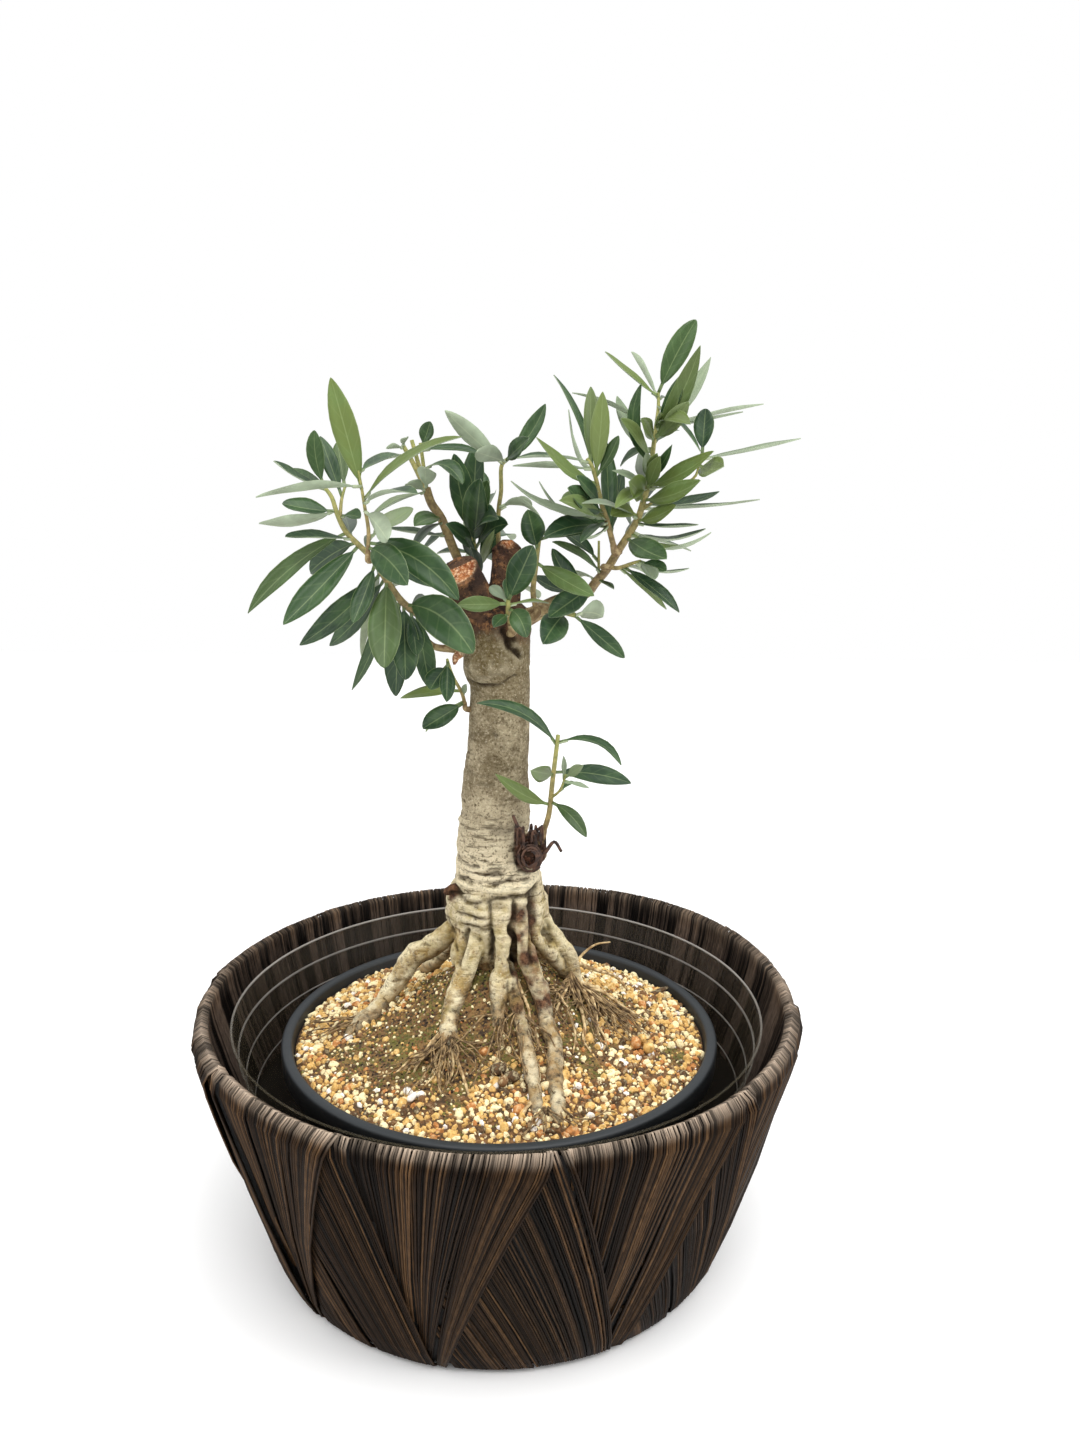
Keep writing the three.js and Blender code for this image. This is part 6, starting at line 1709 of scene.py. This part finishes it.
def leaves_of(name, spray, thickness, random):
    """The shells of a shoot's leaves, merged, with the values that paint them."""
    parts, values = [], {key: [] for key in ("along", "across", "side", "tone", "shade")}
    for stem, place, x, y, z, width, turn, arch, tone in spray["leaves"]:
        base = along_line(spray["stems"][stem][2], place)
        twist = random.uniform(-LEAF_TWIST, LEAF_TWIST)
        shell = leaf_shell(base, np.array([x, y, z], float), width, turn, arch, thickness, twist)
        vertices, faces, painted = shell
        parts.append((vertices, faces))
        toned = (tone + 0.5 + random.uniform(-TONE_JITTER, TONE_JITTER)) / TONE_COUNT
        aged = SHADY_SHARE if name in SHADY_SHOOTS and tone == OLIVE_TONE else 0
        painted["tone"] = [toned] * len(vertices)
        painted["shade"] = [aged + random.uniform(0, 1) ** 1.5] * len(vertices)
        for key in values:
            values[key] += painted[key]
    return *merged(parts), values


class BONSAI_OT_sprays(bpy.types.Operator):
    """Grows every leafy shoot: its stems, and its leaves as thin folded blades"""

    bl_idname = "bonsai.sprays"
    bl_label = "Leafy shoots"

    def execute(self, context):
        settings = context.scene.bonsai_foliage
        leaf_look, stem_look = leaf_material(settings), stem_material(settings)
        for number, (name, spray) in enumerate(SPRAYS.items()):
            random = random_from(100 + number)
            vertices, faces, values = leaves_of(name, spray, settings.thickness / MM, random)
            leaves = make_object(name + "_leaves", vertices, faces, leaf_look, values=values)
            finished(leaves, "foliage", name)
            lines = limb_lines([(first * 1.02, last, points) for first, last, points in spray["stems"]], 4)
            young = []
            for k, line in enumerate(lines):
                share = np.linspace(0 if k == 0 else 0.5, 1, len(line))
                young.append(smooth_step(1.9, 1.1, line[:, 3]) * share ** 1.3)
            add_strands(name + "_stems", lines, STEM_SIDES, stem_look, "foliage", name, {"young": young})
        return {"FINISHED"}


# ---- Stage -------------------------------------------------------------------------------------

CAMERA_PLACE = (0.0161, -0.4511, 0.3219)
CAMERA_DOWN = 0.225  # radians below level
CAMERA_ROLL = 0.010
PLANT_MIDDLE = (0, 0, 0.18)
FLOOR_REACH = 1400
# Soft lights: name, place, size, and power as a share of the overhead one's.
LIGHTS = (("overhead_light", (0.15, -0.35, 1.25), (1.2, 1.0), 1),
    ("left_light", (-1.1, -0.5, 0.7), (0.8, 1.0), 0.34), ("right_light", (1.1, -0.3, 0.6), (0.8, 1.0), 0.4))


def add_holder(name, data, *axes):
    """An object for a camera or a light, from its right, up and back directions and its place."""
    holder = bpy.data.objects.new(name, data)
    bpy.context.scene.collection.objects.link(holder)
    matrix = Matrix.Identity(4)
    for column, axis in enumerate(axes):
        for row in range(3):
            matrix[row][column] = axis[row]
    holder.matrix_world = matrix
    return holder


def add_area(name, place, size, power):
    """A soft light that faces the plant's middle."""
    light = bpy.data.lights.new(name, "AREA")
    light.shape = "RECTANGLE"
    light.size, light.size_y = size
    light.energy = power
    back = unit(np.array(place) - PLANT_MIDDLE)
    side = unit(np.cross((0.0, 0.02, 1.0), back))
    add_holder(name, light, side, np.cross(back, side), back, place)


class BONSAI_OT_stage(bpy.types.Operator):
    """Sets the camera, a plain pale floor and soft light"""

    bl_idname = "bonsai.stage"
    bl_label = "Stage"

    def execute(self, context):
        settings = context.scene.bonsai_stage
        camera = bpy.data.cameras.new("camera")
        camera.sensor_fit = "VERTICAL"
        camera.sensor_height = 36
        camera.lens = settings.lens
        camera.clip_start = 0.01
        right = np.array([1.0, 0, 0])
        above = np.array([0, math.sin(CAMERA_DOWN), math.cos(CAMERA_DOWN)])
        ahead = np.array([0, math.cos(CAMERA_DOWN), -math.sin(CAMERA_DOWN)])
        rolled_right = math.cos(CAMERA_ROLL) * right + math.sin(CAMERA_ROLL) * above
        rolled_up = math.cos(CAMERA_ROLL) * above - math.sin(CAMERA_ROLL) * right
        context.scene.camera = add_holder("camera", camera, rolled_right, rolled_up, -ahead, CAMERA_PLACE)

        # Matt painted board: even and pale, with no grain that the eye would catch.
        material, tree = new_material("Matt painted board")
        wash = noise_value(tree, stretched(tree), 3.0)
        paint = layered(tree, settings.floor, ("#e4e2de", wash, 0.3, 0.7, 0.15))
        surfaced(material, {"Base Color": paint, "Roughness": 0.9})
        corners = [(x * FLOOR_REACH, y * FLOOR_REACH, 0) for x, y in ((-1, -1), (1, -1), (1, 1), (-1, 1))]
        floor = make_object("floor", corners, [(0, 1, 2, 3)], material, smooth=False)

        world = bpy.data.worlds.new("white surround")
        world.use_nodes = True
        surround = world.node_tree.nodes["Background"]
        surround.inputs["Color"].default_value = (1, 1, 1, 1)
        surround.inputs["Strength"].default_value = settings.sky
        context.scene.world = world
        context.scene.view_settings.view_transform = "Standard"
        for name, place, size, share in LIGHTS:
            add_area(name, place, size, settings.key_power * share)
        return {"FINISHED"}


# ---- Panel and run -----------------------------------------------------------------------------

OPERATORS = (BONSAI_OT_stage, BONSAI_OT_cachepot, BONSAI_OT_liner, BONSAI_OT_nursery_pot, BONSAI_OT_soil,
    BONSAI_OT_grit, BONSAI_OT_trunk, BONSAI_OT_rootlets, BONSAI_OT_twigs, BONSAI_OT_sprays)
SETTINGS = {"bonsai_pots": BonsaiPotSettings, "bonsai_soil": BonsaiSoilSettings,
    "bonsai_tree": BonsaiTreeSettings, "bonsai_foliage": BonsaiFoliageSettings,
    "bonsai_stage": BonsaiStageSettings}


class BONSAI_PT_builder(bpy.types.Panel):
    """Lists the settings and the operators in the order in which they are run"""

    bl_idname = "BONSAI_PT_builder"
    bl_label = "Olive Bonsai"
    bl_space_type = "VIEW_3D"
    bl_region_type = "UI"
    bl_category = "Bonsai"

    def draw(self, context):
        for operator in OPERATORS:
            self.layout.operator(operator.bl_idname)
        for name, group in SETTINGS.items():
            box = self.layout.box()
            for key in group.__annotations__:
                box.prop(getattr(context.scene, name), key)


def register():
    for group in SETTINGS.values():
        bpy.utils.register_class(group)
    for operator in (*OPERATORS, BONSAI_PT_builder):
        bpy.utils.register_class(operator)
    for name, group in SETTINGS.items():
        setattr(bpy.types.Scene, name, bpy.props.PointerProperty(type=group))


def unregister():
    for name in SETTINGS:
        delattr(bpy.types.Scene, name)
    for made in (BONSAI_PT_builder, *OPERATORS, *SETTINGS.values()):
        bpy.utils.unregister_class(made)


def main():
    register()
    for operator in OPERATORS:
        group, name = operator.bl_idname.split(".")
        getattr(getattr(bpy.ops, group), name)()


if __name__ == "__main__":
    main()
